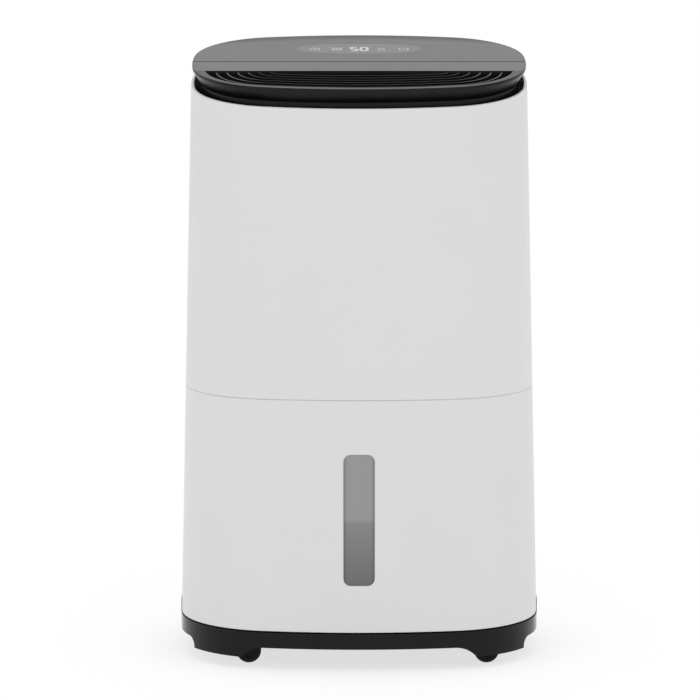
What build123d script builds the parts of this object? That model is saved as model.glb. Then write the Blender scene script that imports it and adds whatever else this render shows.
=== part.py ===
"""Compressor dehumidifier, in millimetres.

White drafted shells stand on a black base with four twin-wheel castors. The deck
on top slopes down to the front, where nested fins cover the air outlet. The lower
front half is a water tank that pulls out. Behind it stands the compressor, and
above it the coils, the filter and the blower.

+Z is up, the front faces -Y, and the origin is on the floor under the middle.
"""
from build123d import *
from math import atan2, cos, degrees, hypot, radians, sin, sqrt, tan
import os

# Body plan: eight tangent arcs, with long ends, a long front and tight corners
body_width = 346.0
body_depth = 240.0
end_bow = 247.0
corner_bow = 97.0
front_bow = 518.0
body_draft = 1.31

# Heights above the floor
foot_bottom = 11.8
base_underside = 22.0
base_floor = 30.5
base_front_top = 38.0
plinth_top = 44.0
base_rear_top = 48.0
seam_height = 261.0
deck_height = 570.5
deck_tilt = 8.35

# Shells
shell_inset = 0.5
shell_wall = 3.0
shell_rim_drop = 18.4
rim_round = 1.8
seam_gap = 0.8
tank_split_step = 17.0
cover_split_step = 1.0
fit_gap = 0.3

# Base
base_wall = 5.0
plinth_inset = 10.0
foot_step_x = 2.9
foot_step_y = 4.0
foot_cove_x = 25.0
foot_cove_y = 9.0
stem_boss_radius = 7.0
screw_post_x = 14.0
screw_post_half = 7.0
screw_post_top = 76.0

# Castors
castor_end_inset = 59.0
castor_side_inset = 50.0
castor_trail = 8.2
wheel_radius = 11.8
wheel_width = 6.4
wheel_edge = 1.6
hub_recess_radius = 6.5
hub_recess_depth = 1.2
fork_web = 5.0
wheel_gap = 0.4
axle_radius = 1.6
stem_radius = 4.0
running_gap = 0.08
castor_pocket_radius = 24.0
castor_pocket_top = 27.5
stem_top = 40.0
fork_plate_radius = 11.0
fork_plate_thickness = 2.6
fork_boss_radius = 5.0
fork_web_back = 8.0

# Water tank
tank_gap = 0.5
tank_wall = 3.0
tub_inset = 6.5
tub_wall = 2.2
tub_lift = 0.3
tub_back_gap = 4.0
tub_headroom = 19.0
lid_thickness = 2.5
lid_skirt = 4.0
drip_hole_width = 76.0
drip_hole_depth = 26.0
drip_hole_step = 1.0
drip_hole_round = 6.5
pour_hole_radius = 16.0
pour_hole_end_inset = 61.0
pour_hole_front_inset = 58.0
window_width = 29.7
window_bottom = 83.5
window_top = 209.5
window_round = 7.0
window_sink = 0.5
pad_x = 70.0
pad_half_width = 6.0
pad_half_height = 20.0
pad_margin = 55.0

# Tank handle, a bail that lies on the lid
bail_half_span = 62.0
bail_setback = 33.0
bail_reach = 46.0
bail_bar = 9.0
bail_height = 7.0
bail_lift = 2.6
bail_corner = 12.5
bail_end_round = 4.0
bail_pin_radius = 2.6
bail_pin_length = 8.0
lug_width = 9.0
lug_depth = 13.0
lug_gap = 0.4

# Float
float_end_inset = 89.0
float_pivot_drop = 46.0
float_pin_radius = 2.0
float_pin_length = 22.0
float_hub_radius = 4.4
float_end_gap = 2.0
float_arm = 46.0
float_width = 34.0
float_depth = 24.0
float_height = 20.0

# Inner frame
bulkhead_setback = 117.0
bulkhead_thickness = 3.0
bulkhead_inset = 5.4
mid_deck_lift = 1.0
mid_deck_thickness = 3.0
fan_plate_setback = 89.0
fan_plate_thickness = 3.0
fan_plate_drop = 50.5
fan_inlet_radius = 58.0

# Blower
fan_rise = 12.5
scroll_setback = 74.0
scroll_radius = 92.0
scroll_wall = 2.5
scroll_top_step = 2.0
scroll_tongue = 25.0
blower_radius = 70.0
blower_bore = 56.0
blower_front_gap = 6.0
blower_back_gap = 7.0
blower_blades = 30
blower_back_plate = 2.0
blower_ring = 3.0
blower_hub_radius = 12.0
blower_hub_length = 28.0
blade_chord = 15.0
blade_thickness = 1.4
blade_lean = 28.0
shaft_radius = 4.0
shaft_hole_radius = 8.0
motor_radius = 40.0
motor_length = 38.0
motor_bell_radius = 26.0
motor_bell_length = 10.0
motor_edge = 4.0
motor_lugs = 4
motor_lug = 4.0
motor_lug_circle = 47.0
motor_lug_radius = 6.0
motor_screw_radius = 2.0
motor_screw_head_radius = 4.0
motor_screw_head = 2.0

# Coils
coil_end_inset = 73.0
coil_depth = 20.0
coil_lift = 7.0
coil_top_drop = 76.5
coil_plate = 1.5
coil_tube = 4.0
coil_tube_sides = 8
coil_bend = 10.0
coil_groove = 2.0
coil_groove_depth = 5.0
coil_grooves = 26
coil_bend_count = 3
coil_bend_margin = 51.0
coil_joint_margin = 20.0
coil_gap = 3.0
coil_clearance = 1.0

# Drip tray and spout
tray_overhang = 8.0
tray_wall = 2.0
tray_height = 14.0
spout_width = 20.0
spout_setback = 20.0
spout_height = 10.0
nozzle_radius = 7.0
nozzle_bore = 4.5
nozzle_length = 8.0

# Compressor and pipes
compressor_spacing = 65.0
compressor_setback = 62.0
compressor_radius = 47.0
compressor_step = 4.0
compressor_headroom = 62.0
compressor_dome = 24.0
compressor_dome_edge = 6.0
stud_offset = 5.0
stud_angles = (0.0, 135.0, 225.0)
stud_radius = 3.4
stud_rise = 10.0
nut_radius = 6.8
nut_height = 5.4
grommet_radius = 8.0
grommet_bore = 4.0
foot_plate_lift = 11.5
foot_plate_thickness = 3.0
foot_arm_half = 9.0
foot_arm_step = 2.0
weld_bead = 1.5
terminal_box_depth = 10.0
terminal_box_half = 20.0
terminal_box_bottom = 100.0
accumulator_end_inset = 48.0
accumulator_radius = 15.0
accumulator_bottom = 70.0
accumulator_drop = 30.0
accumulator_dome = 7.5
accumulator_dome_edge = 2.0
strap_width = 7.5
pipe_radius = 4.0
pipe_sides = 12
pipe_bend = 12.0
pipe_hole_radius = 6.0
discharge_shift = 10.0
discharge_offset = 23.0
discharge_step = 3.0
discharge_run_drop = 24.0
liquid_offset = 26.0
liquid_radius = 3.0
liquid_bend = 6.0
drier_radius = 8.0
drier_half_length = 16.0

# Electrics
control_box_left = 34.0
control_box_end_inset = 33.0
control_box_bottom = 90.0
control_box_headroom = 32.0
control_box_depth = 30.0
control_box_wall = 2.0
board_thickness = 1.6
board_standoff = 4.0
board_hole_margin = 11.0
relay_width = 28.0
relay_height = 15.0
small_part_width = 14.0
small_part_radius = 9.0
sensor_half = 8.0
sensor_depth = 6.0
sensor_slots = 4
sensor_slot = 1.6
sensor_slot_pitch = 4.0
level_sensor_lift = 4.0
humidity_end_inset = 28.0
capacitor_x = 80.0
capacitor_radius = 20.0
capacitor_height = 80.0
capacitor_edge = 2.0
terminal_spread = 20.0
terminal_width = 6.5

# Inlet grille and filter
grille_end_inset = 73.0
grille_lift = 25.0
grille_top_drop = 60.5
grille_corner = 10.0
grille_gap = 0.6
slot_columns = 4
slot_rows = 17
slot_height = 6.0
slot_bar = 5.0
slot_side_margin = 6.0
slot_end_margin = 11.4
finger_notch = 36.0
filter_clearance = 3.0
filter_depth = 5.0
filter_margin = 4.0
filter_rim = 6.0
filter_sheet = 1.0
filter_post_rise = 20.0

# Rear fittings
drain_x = 15.0
drain_drop = 26.0
drain_radius = 9.0
drain_bore = 6.5
drain_flange_radius = 13.0
drain_flange = 2.5
drain_length = 26.0
plug_length = 14.0
plug_head_radius = 10.5
plug_edge = 0.8
gland_x = 60.0
gland_z = 72.0
gland_radius = 8.0
gland_bore = 3.6
gland_flange_radius = 11.0
gland_flange = 2.4
gland_edge = 0.8
deck_screw_x = 75.0
deck_screw_drop = 4.0
screw_boss_length = 10.0
screw_boss_radius = 7.0
screw_radius = 2.2
screw_head_radius = 4.0
screw_head = 2.6
screw_sink = 4.0
screw_length = 12.0

# Deck on top
deck_inset = 13.5
deck_wall = 2.5
undercut_height = 12.0
undercut_depth = 7.5
neck_step = 0.8
neck_wall = 2.5
neck_drop = 42.0
neck_flange = 3.0
deck_plate = 8.0
panel_line = 0.0
panel_seam = 0.6
panel_edge = 1.2
strip_depth = 36.0
strip_seam = 0.7
outlet_end_inset = 24.0
outlet_front_inset = 20.2
outlet_corner = 64.0
outlet_ledge = 9.5
fin_count = 6
fin_thickness = 1.5
fin_drop = 1.0
fin_width_step = 10.0
fin_front_step = 5.8
fin_last_gap = 14.5
fin_first_corner = 50.0
fin_corner_step = 7.8
rib_drop = 5.0
rib_spacing = 48.0
rib_pairs = 2
grille_ring = 5.5
grille_ring_height = 2.5
board_drop = 11.0
board_half_width = 62.0
board_half_depth = 22.0
board_setback = 71.0
display_half_width = 10.0
display_half_depth = 8.0

half_width = body_width / 2
half_depth = body_depth / 2
reach = body_width + body_depth
bulkhead_y = half_depth - bulkhead_setback
bulkhead_rear = bulkhead_y + bulkhead_thickness
fan_plate_y = half_depth - fan_plate_setback
fan_plate_rear = fan_plate_y + fan_plate_thickness
tank_split = bulkhead_y - tank_split_step
cover_split = fan_plate_y - cover_split_step
tub_rear = bulkhead_y - tub_back_gap
spout_front = bulkhead_y - spout_setback
drip_hole_y = spout_front - drip_hole_step
pour_hole_x = half_width - pour_hole_end_inset
pour_hole_y = pour_hole_front_inset - half_depth
bail_pivot_y = tub_rear - bail_setback
tank_bottom = base_front_top + tank_gap
tank_top = seam_height - seam_gap / 2
cover_bottom = seam_height + seam_gap / 2
tub_bottom = plinth_top + tub_lift
tub_top = seam_height - tub_headroom
lid_top = tub_top + lid_thickness
mid_deck_bottom = seam_height + mid_deck_lift
mid_deck_top = mid_deck_bottom + mid_deck_thickness
fan_plate_top = deck_height - fan_plate_drop
fan_height = (mid_deck_top + fan_plate_top) / 2 + fan_rise
scroll_top = fan_plate_top - scroll_top_step
scroll_front = scroll_setback - half_depth
blower_front = scroll_front + blower_front_gap
blower_depth = fan_plate_y - blower_back_gap - blower_front
coil_half_width = half_width - coil_end_inset
coil_bottom = mid_deck_top + coil_lift
coil_height = deck_height - coil_top_drop - coil_bottom
coil_bend_pitch = (coil_height - 2 * coil_bend_margin) / (coil_bend_count - 1)
coil_low_joint = coil_bottom + coil_joint_margin
coil_high_joint = coil_bottom + coil_height - coil_joint_margin
tray_half_width = coil_half_width + tray_overhang
tray_front = fan_plate_rear
condenser_y = tray_front + tray_wall + coil_clearance + coil_depth / 2
evaporator_y = condenser_y + coil_depth + coil_gap
tray_rear = evaporator_y + coil_depth / 2 + coil_clearance + tray_wall
filter_front = tray_rear + filter_clearance
grille_half_width = half_width - grille_end_inset
grille_bottom = mid_deck_top + grille_lift
grille_top = deck_height - grille_top_drop
slot_pitch_x = 2 * (grille_half_width - slot_side_margin) / slot_columns
slot_pitch_z = (grille_top - grille_bottom - 2 * slot_end_margin) / slot_rows
filter_half = grille_half_width - filter_margin
filter_height = grille_top - grille_bottom - 2 * filter_margin
filter_middle = (grille_bottom + grille_top) / 2
filter_post_x = filter_half - filter_rim / 4
shell_inner = shell_inset + shell_wall
body_top = deck_height + half_depth
bail_pivot_z = lid_top + bail_lift + bail_height / 2
float_pivot_x = half_width - float_end_inset
float_pivot_z = tub_top - float_pivot_drop
accumulator_x = accumulator_end_inset - half_width
compressor_x = accumulator_x + compressor_spacing
compressor_y = half_depth - compressor_setback
foot_plate_bottom = base_floor + foot_plate_lift
compressor_bottom = foot_plate_bottom + compressor_step
compressor_top = mid_deck_bottom - compressor_headroom
accumulator_top = compressor_top - accumulator_drop
stud_circle = compressor_radius + stud_offset
discharge_x = -coil_half_width - discharge_offset
discharge_y = condenser_y + discharge_step
discharge_run_z = mid_deck_bottom - discharge_run_drop
liquid_x = coil_half_width + liquid_offset
control_box_right = half_width - control_box_end_inset
control_box_top = mid_deck_bottom - control_box_headroom
humidity_x = half_width - humidity_end_inset
drain_z = mid_deck_bottom - drain_drop
deck_screw_z = mid_deck_bottom - deck_screw_drop
outlet_half_width = half_width - outlet_end_inset
outlet_half_depth = half_depth - outlet_front_inset
fin_first_depth = outlet_half_depth - fin_front_step
fin_depth_step = (fin_first_depth - strip_depth - fin_last_gap) / (fin_count - 1)
board_y = half_depth - board_setback
castor_x = half_width - castor_end_inset
castor_y = half_depth - castor_side_inset
foot_inner_x = castor_x + foot_step_x
foot_inner_y = castor_y - foot_step_y
neck_inset = deck_inset + undercut_depth + neck_step
undercut_drop = deck_wall + undercut_height
panel_thickness = deck_wall
fork_plate_bottom = castor_pocket_top - fit_gap - fork_plate_thickness
half_track = fork_web / 2 + wheel_gap + wheel_width
board_x = (control_box_left + control_box_right) / 2
board_z = (control_box_bottom + control_box_top) / 2
board_hole_x = control_box_right - control_box_left - 2 * board_hole_margin
board_hole_z = control_box_top - control_box_bottom - 2 * board_hole_margin
screw_post_z = screw_post_top - screw_post_half - screw_radius
rear_screws = (
    (screw_post_x, screw_post_z),
    (-deck_screw_x, deck_screw_z),
    (deck_screw_x, deck_screw_z),
)
castors = {
    "front_left": (-castor_x, -castor_y),
    "front_right": (castor_x, -castor_y),
    "rear_left": (-castor_x, castor_y),
    "rear_right": (castor_x, castor_y),
}

os.makedirs("parts", exist_ok=True)


def oval(half_x, half_y, end_radius, corner_radius, front_radius):
    """Plan of eight tangent arcs: two ends, a front, a back and four corners."""
    end_x = half_x - end_radius
    front_y = front_radius - half_y
    end_reach = end_radius - corner_radius
    front_reach = front_radius - corner_radius
    span = hypot(end_x, front_y)
    along = (end_reach**2 - front_reach**2 + span**2) / (2 * span)
    across = sqrt(end_reach**2 - along**2)
    corner_x = end_x + (front_y * across - end_x * along) / span
    corner_y = -(front_y * along + end_x * across) / span
    end_turn = degrees(atan2(corner_y, corner_x - end_x))
    front_turn = degrees(atan2(corner_y + front_y, corner_x))
    corner_sweep = front_turn - end_turn
    front_sweep = 180 - 2 * front_turn
    with BuildSketch(mode=Mode.PRIVATE) as outline:
        with BuildLine():
            CenterArc((end_x, 0), end_radius, -end_turn, 2 * end_turn)
            CenterArc((corner_x, corner_y), corner_radius, end_turn, corner_sweep)
            CenterArc((0, -front_y), front_radius, front_turn, front_sweep)
            CenterArc((-corner_x, corner_y), corner_radius, 180 - front_turn, corner_sweep)
            CenterArc((-end_x, 0), end_radius, 180 - end_turn, 2 * end_turn)
            CenterArc((-corner_x, -corner_y), corner_radius, 180 + end_turn, corner_sweep)
            CenterArc((0, front_y), front_radius, 180 + front_turn, front_sweep)
            CenterArc((corner_x, -corner_y), corner_radius, -front_turn, corner_sweep)
        make_face()
    return outline.sketch


def plan(inset):
    """Plan of the body at the base, moved in by inset."""
    return oval(
        half_width - inset,
        half_depth - inset,
        end_bow - inset,
        corner_bow - inset,
        front_bow - inset,
    )


def draft_in(height):
    """How far the drafted walls have leaned in at a height."""
    return (height - base_front_top) * tan(radians(body_draft))


def between(front, back):
    """Keep the part between the planes y = front and y = back."""
    if back is not None:
        split(bisect_by=Plane.XZ.offset(-back), keep=Keep.TOP)
    if front is not None:
        split(bisect_by=Plane.XZ.offset(-front), keep=Keep.BOTTOM)


def drafted(inset, bottom, top, front=None, back=None):
    """Block of the body's plan between two heights, leaning in with the draft."""
    with BuildPart(mode=Mode.PRIVATE) as block:
        with BuildSketch(Plane.XY.offset(bottom)):
            add(plan(inset + draft_in(bottom)))
        extrude(amount=top - bottom, taper=body_draft)
        between(front, back)
    return block.part


def deck_plane(drop):
    """Plane parallel to the deck, a drop below it measured upright."""
    lean = radians(deck_tilt)
    return Plane((0, 0, deck_height - drop), x_dir=(1, 0, 0), z_dir=(0, -sin(lean), cos(lean)))


def deck_block(profile, top_drop, bottom_drop, front=None, back=None):
    """Upright prism of a plan, cut between two planes parallel to the deck."""
    with BuildPart(mode=Mode.PRIVATE) as block:
        with BuildSketch():
            add(profile)
        extrude(amount=2 * deck_height)
        split(bisect_by=deck_plane(top_drop), keep=Keep.BOTTOM)
        split(bisect_by=deck_plane(bottom_drop), keep=Keep.TOP)
        between(front, back)
    return block.part


def outlet_plan(inset):
    """Plan of the air outlet in the deck, moved in by inset."""
    return oval(
        outlet_half_width - inset,
        outlet_half_depth - inset,
        end_bow - (half_width - outlet_half_width) - inset,
        outlet_corner - inset,
        front_bow - (half_depth - outlet_half_depth) - inset,
    )


def fin_plan(number, grow):
    """Outline of one outlet fin, counted from the rim inwards."""
    half_x = outlet_half_width - fin_width_step * (number + 1)
    half_y = fin_first_depth - fin_depth_step * number
    return oval(
        half_x + grow,
        half_y + grow,
        end_bow - (half_width - half_x) + grow,
        fin_first_corner - fin_corner_step * number + grow,
        front_bow - (half_depth - half_y) + grow,
    )


def fin_ring(number):
    """Plan of one outlet fin, a thin closed loop."""
    with BuildSketch(mode=Mode.PRIVATE) as ring:
        add(fin_plan(number, fin_thickness / 2))
        add(fin_plan(number, -fin_thickness / 2), mode=Mode.SUBTRACT)
    return ring.sketch


def outlet_rib(x):
    """Plan of one rib across the air outlet."""
    with BuildSketch(mode=Mode.PRIVATE) as rib:
        add(outlet_plan(fit_gap))
        with Locations((x, 0)):
            Rectangle(fin_thickness, body_depth, mode=Mode.INTERSECT)
    return rib.sketch


def board_plan(half_x, half_y):
    """Rectangle in plan about the middle of the touch keys."""
    with BuildSketch(mode=Mode.PRIVATE) as board:
        with Locations((0, board_y)):
            Rectangle(2 * half_x, 2 * half_y)
    return board.sketch


def board_posts():
    """Plan of the four posts that hold the display board."""
    with BuildSketch(mode=Mode.PRIVATE) as posts:
        with Locations((0, board_y)):
            with GridLocations(
                2 * (board_half_width - board_standoff),
                2 * (board_half_depth - board_standoff),
                2,
                2,
            ):
                Circle(board_standoff)
    return posts.sketch


def neck_flange_ring():
    """Flange at the foot of the neck that fills the gap inside the shells."""
    with BuildPart(mode=Mode.PRIVATE) as flange:
        add(drafted(shell_inner + fit_gap, seam_height, body_top))
        split(bisect_by=deck_plane(neck_drop - neck_flange), keep=Keep.BOTTOM)
        split(bisect_by=deck_plane(neck_drop), keep=Keep.TOP)
    return flange.part


def cove_rail(inner, cove_radius, plane):
    """Long bar on both sides of the middle with a hollow curve at its inner top."""
    foot_height = base_underside - foot_bottom
    middle = foot_bottom + foot_height / 2
    with BuildPart(mode=Mode.PRIVATE) as rail:
        with BuildSketch(plane):
            with Locations((inner + reach / 2, middle), (-inner - reach / 2, middle)):
                Rectangle(reach, foot_height)
            with Locations((0, base_underside - cove_radius / 2)):
                Rectangle(2 * inner, cove_radius)
            with Locations((0, base_underside - cove_radius)):
                SlotOverall(2 * inner, 2 * cove_radius, mode=Mode.SUBTRACT)
        extrude(amount=reach, both=True)
    return rail.part


def axial_disc(x, y_start, y_end, z, radius):
    """Round bar along Y."""
    with BuildPart(mode=Mode.PRIVATE) as bar:
        with BuildSketch(Plane.XZ.offset(-y_start)):
            with Locations((x, z)):
                Circle(radius)
        extrude(amount=y_start - y_end)
    return bar.part


def slab(x_from, x_to, y_from, y_to, z_from, z_to):
    """Square block between six planes."""
    with BuildPart(mode=Mode.PRIVATE) as block:
        with Locations(((x_from + x_to) / 2, (y_from + y_to) / 2, (z_from + z_to) / 2)):
            Box(x_to - x_from, y_to - y_from, z_to - z_from)
    return block.part


def tube(points, radius, bend):
    """Tube along straight runs joined by tangent arcs."""
    with BuildPart(mode=Mode.PRIVATE) as run:
        with BuildLine() as path:
            FilletPolyline(*points, radius=bend)
        with BuildSketch(Plane(path.line @ 0, z_dir=path.line % 0)):
            RegularPolygon(radius, pipe_sides)
        sweep(path=path.line)
    return run.part


def corner_feet():
    """Four corner feet under the base, flush with its outline."""
    with BuildPart(mode=Mode.PRIVATE) as feet:
        with BuildSketch(Plane.XY.offset(foot_bottom)):
            add(plan(0))
        extrude(amount=base_underside - foot_bottom)
        add(cove_rail(foot_inner_x, foot_cove_x, Plane.XZ), mode=Mode.INTERSECT)
        add(cove_rail(foot_inner_y, foot_cove_y, Plane.YZ), mode=Mode.INTERSECT)
    return feet.part


def screw_post():
    """Post behind the back cover that takes its lower screw."""
    post_back = shell_y(screw_post_x, screw_post_top) - screw_boss_length
    return slab(
        screw_post_x - screw_post_half,
        screw_post_x + screw_post_half,
        post_back - 2 * screw_post_half,
        post_back,
        base_floor,
        screw_post_top,
    )


def shell(bottom, front=None, back=None):
    """Drafted outer wall up to the sloped rim, which is rounded outside."""
    with BuildPart(mode=Mode.PRIVATE) as wall:
        add(drafted(shell_inset, bottom, body_top))
        split(bisect_by=deck_plane(shell_rim_drop), keep=Keep.BOTTOM)
        fillet(wall.faces().sort_by(Axis.Z)[-1].edges(), rim_round)
        between(front, back)
        add(drafted(shell_inner, bottom, body_top), mode=Mode.SUBTRACT)
    return wall.part


def wall_patch(block, outer, inner):
    """The stretch of a drafted wall between two insets that lies in a block."""
    with BuildPart(mode=Mode.PRIVATE) as patch:
        add(block)
        add(drafted(outer, base_floor, body_top), mode=Mode.INTERSECT)
        add(drafted(inner, base_floor, body_top), mode=Mode.SUBTRACT)
    return patch.part


def upright_window(half_x, bottom, top, corner, toward):
    """Rounded upright block from the middle plane out to the front or the back."""
    with BuildPart(mode=Mode.PRIVATE) as block:
        with BuildSketch(Plane.XZ):
            with Locations((0, (bottom + top) / 2)):
                RectangleRounded(2 * half_x, top - bottom, corner)
        extrude(amount=-toward * reach)
    return block.part


def shell_y(x, z):
    """Distance from the middle to the outer face of the back wall."""
    inset = shell_inset + draft_in(z)
    return sqrt((front_bow - inset) ** 2 - x**2) - (front_bow - half_depth)


def coil(y):
    """Finned block with end plates and return bends, across the body at y."""
    pitch = 2 * coil_half_width / (coil_grooves + 1)
    bend_x = coil_half_width + coil_plate
    with BuildPart(mode=Mode.PRIVATE) as pack:
        with BuildSketch(Plane.XY.offset(coil_bottom)):
            with Locations((0, y)):
                Rectangle(2 * coil_half_width, coil_depth)
                with GridLocations(pitch, coil_depth, coil_grooves, 2):
                    Rectangle(coil_groove, 2 * coil_groove_depth, mode=Mode.SUBTRACT)
        extrude(amount=coil_height)
        with Locations((0, y, coil_bottom + coil_height / 2)):
            with GridLocations(2 * coil_half_width + coil_plate, 1, 2, 1):
                Box(coil_plate, coil_depth, coil_height)
        for number in range(coil_bend_count):
            height = coil_bottom + coil_bend_margin + coil_bend_pitch * number
            for side in (-1, 1):
                with BuildSketch(Plane.YZ.offset(side * bend_x)):
                    with Locations((y, height + coil_bend)):
                        RegularPolygon(coil_tube, coil_tube_sides)
                turn = Axis((side * bend_x, y, height), (0, side, 0))
                revolve(axis=turn, revolution_arc=180)
    return pack.part


# Base: tray with a raised plinth for the tank, a well for the compressor,
# four corner feet and a round pocket over each castor
with BuildPart() as base_tray:
    with BuildSketch(Plane.XY.offset(base_underside)):
        add(plan(0))
    extrude(amount=base_rear_top - base_underside)
    with BuildSketch(Plane.XY.offset(base_rear_top)):
        with Locations((0, tank_split - half_depth)):
            Rectangle(reach, body_depth)
    extrude(amount=base_front_top - base_rear_top, mode=Mode.SUBTRACT)
    with BuildSketch(Plane.XY.offset(base_rear_top)):
        add(plan(base_wall))
    extrude(amount=plinth_top - base_rear_top, mode=Mode.SUBTRACT)
    with BuildSketch(Plane.XY.offset(base_front_top)):
        add(plan(plinth_inset))
        with Locations((0, tank_split + half_depth)):
            Rectangle(reach, body_depth, mode=Mode.SUBTRACT)
    extrude(amount=plinth_top - base_front_top)
    with BuildSketch(Plane.XY.offset(plinth_top)):
        add(plan(base_wall))
        with Locations((0, bulkhead_rear + base_wall - half_depth)):
            Rectangle(reach, body_depth, mode=Mode.SUBTRACT)
    extrude(amount=base_floor - plinth_top, mode=Mode.SUBTRACT)
    with BuildSketch(Plane.XY.offset(base_floor)):
        with Locations((-castor_x, castor_y), (castor_x, castor_y)):
            Circle(stem_boss_radius)
    extrude(amount=plinth_top - base_floor)
    add(screw_post())
    add(
        axial_disc(screw_post_x, half_depth, 0, screw_post_z, screw_radius),
        mode=Mode.SUBTRACT,
    )
    add(corner_feet())
    with BuildSketch(Plane.XY.offset(foot_bottom)):
        with Locations(*castors.values()):
            Circle(castor_pocket_radius)
    extrude(amount=castor_pocket_top - foot_bottom, mode=Mode.SUBTRACT)
    with BuildSketch(Plane.XY.offset(castor_pocket_top)):
        with Locations(*castors.values()):
            Circle(stem_radius + running_gap)
    extrude(amount=stem_top + fit_gap - castor_pocket_top, mode=Mode.SUBTRACT)
base_tray.part.label = "base_tray"
export_step(base_tray.part, "parts/base_tray.step")

# Castors: a swivelling fork with a web between two wheels on one axle
for corner, (swivel_x, swivel_y) in castors.items():
    axle_x = swivel_x + castor_trail
    middle = Plane.XZ.offset(-swivel_y)

    with BuildPart() as castor_fork:
        with BuildSketch(Plane.XY.offset(fork_plate_bottom)):
            with Locations((swivel_x, swivel_y)):
                Circle(fork_plate_radius)
        extrude(amount=fork_plate_thickness)
        with BuildSketch(Plane.XY.offset(fork_plate_bottom)):
            with Locations((swivel_x, swivel_y)):
                Circle(stem_radius)
        extrude(amount=stem_top - fork_plate_bottom)
        with BuildSketch(middle):
            with BuildLine():
                Polyline(
                    (swivel_x - fork_web_back, fork_plate_bottom),
                    (axle_x + fork_boss_radius, fork_plate_bottom),
                    (axle_x + fork_boss_radius, wheel_radius),
                    (axle_x - fork_boss_radius, wheel_radius),
                    close=True,
                )
            make_face()
            with Locations((axle_x, wheel_radius)):
                Circle(fork_boss_radius)
                Circle(axle_radius + running_gap, mode=Mode.SUBTRACT)
        extrude(amount=fork_web / 2, both=True)
    castor_fork.part.label = f"castor_fork_{corner}"
    export_step(castor_fork.part, f"parts/castor_fork_{corner}.step")

    with BuildPart() as castor_wheels:
        with BuildSketch(middle):
            with Locations((axle_x, wheel_radius)):
                Circle(wheel_radius)
                Circle(axle_radius, mode=Mode.SUBTRACT)
        extrude(amount=half_track, both=True)
        treads = castor_wheels.edges().filter_by(GeomType.CIRCLE).sort_by(SortBy.RADIUS)[-2:]
        chamfer(treads, wheel_edge)
        with BuildSketch(middle):
            with Locations((axle_x, wheel_radius)):
                Circle(2 * wheel_radius)
        extrude(amount=fork_web / 2 + wheel_gap, both=True, mode=Mode.SUBTRACT)
        with BuildSketch(middle.offset(half_track), middle.offset(-half_track)):
            with Locations((axle_x, wheel_radius)):
                Circle(hub_recess_radius)
        extrude(amount=hub_recess_depth, both=True, mode=Mode.SUBTRACT)
    castor_wheels.part.label = f"castor_wheels_{corner}"
    export_step(castor_wheels.part, f"parts/castor_wheels_{corner}.step")

    with BuildPart() as castor_axle:
        with BuildSketch(middle):
            with Locations((axle_x, wheel_radius)):
                Circle(axle_radius)
        extrude(amount=half_track - hub_recess_depth, both=True)
    castor_axle.part.label = f"castor_axle_{corner}"
    export_step(castor_axle.part, f"parts/castor_axle_{corner}.step")

# Water tank: white front panel with a tall window, and a tub behind it
with BuildPart() as tank_front:
    add(drafted(shell_inset, tank_bottom, tank_top, back=tank_split - tank_gap))
    add(drafted(shell_inset + tank_wall, tank_bottom, tank_top), mode=Mode.SUBTRACT)
    for pad_middle in (tank_bottom + pad_margin, tank_top - pad_margin):
        for side in (-pad_x, pad_x):
            pad = slab(
                side - pad_half_width,
                side + pad_half_width,
                -half_depth,
                tank_split,
                pad_middle - pad_half_height,
                pad_middle + pad_half_height,
            )
            add(wall_patch(pad, shell_inset + tank_wall / 2, tub_inset - fit_gap / 2))
    add(
        upright_window(window_width / 2, window_bottom, window_top, window_round, -1),
        mode=Mode.SUBTRACT,
    )
tank_front.part.label = "tank_front"
export_step(tank_front.part, "parts/tank_front.step")

with BuildPart() as level_window:
    window_block = upright_window(
        window_width / 2 - fit_gap / 2,
        window_bottom + fit_gap / 2,
        window_top - fit_gap / 2,
        window_round - fit_gap / 2,
        -1,
    )
    add(wall_patch(window_block, shell_inset + window_sink, tub_inset - fit_gap / 2))
level_window.part.label = "level_window"
export_step(level_window.part, "parts/level_window.step")

with BuildPart() as tank_tub:
    add(drafted(tub_inset, tub_bottom, tub_top, back=tub_rear))
    add(
        drafted(tub_inset + tub_wall, tub_bottom + tub_wall, lid_top, back=tub_rear - tub_wall),
        mode=Mode.SUBTRACT,
    )
    add(
        axial_disc(
            float_pivot_x,
            tub_rear - tub_wall / 2,
            tub_rear - tub_wall - float_pin_length,
            float_pivot_z,
            float_pin_radius,
        )
    )
tank_tub.part.label = "tank_tub"
export_step(tank_tub.part, "parts/tank_tub.step")

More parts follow.
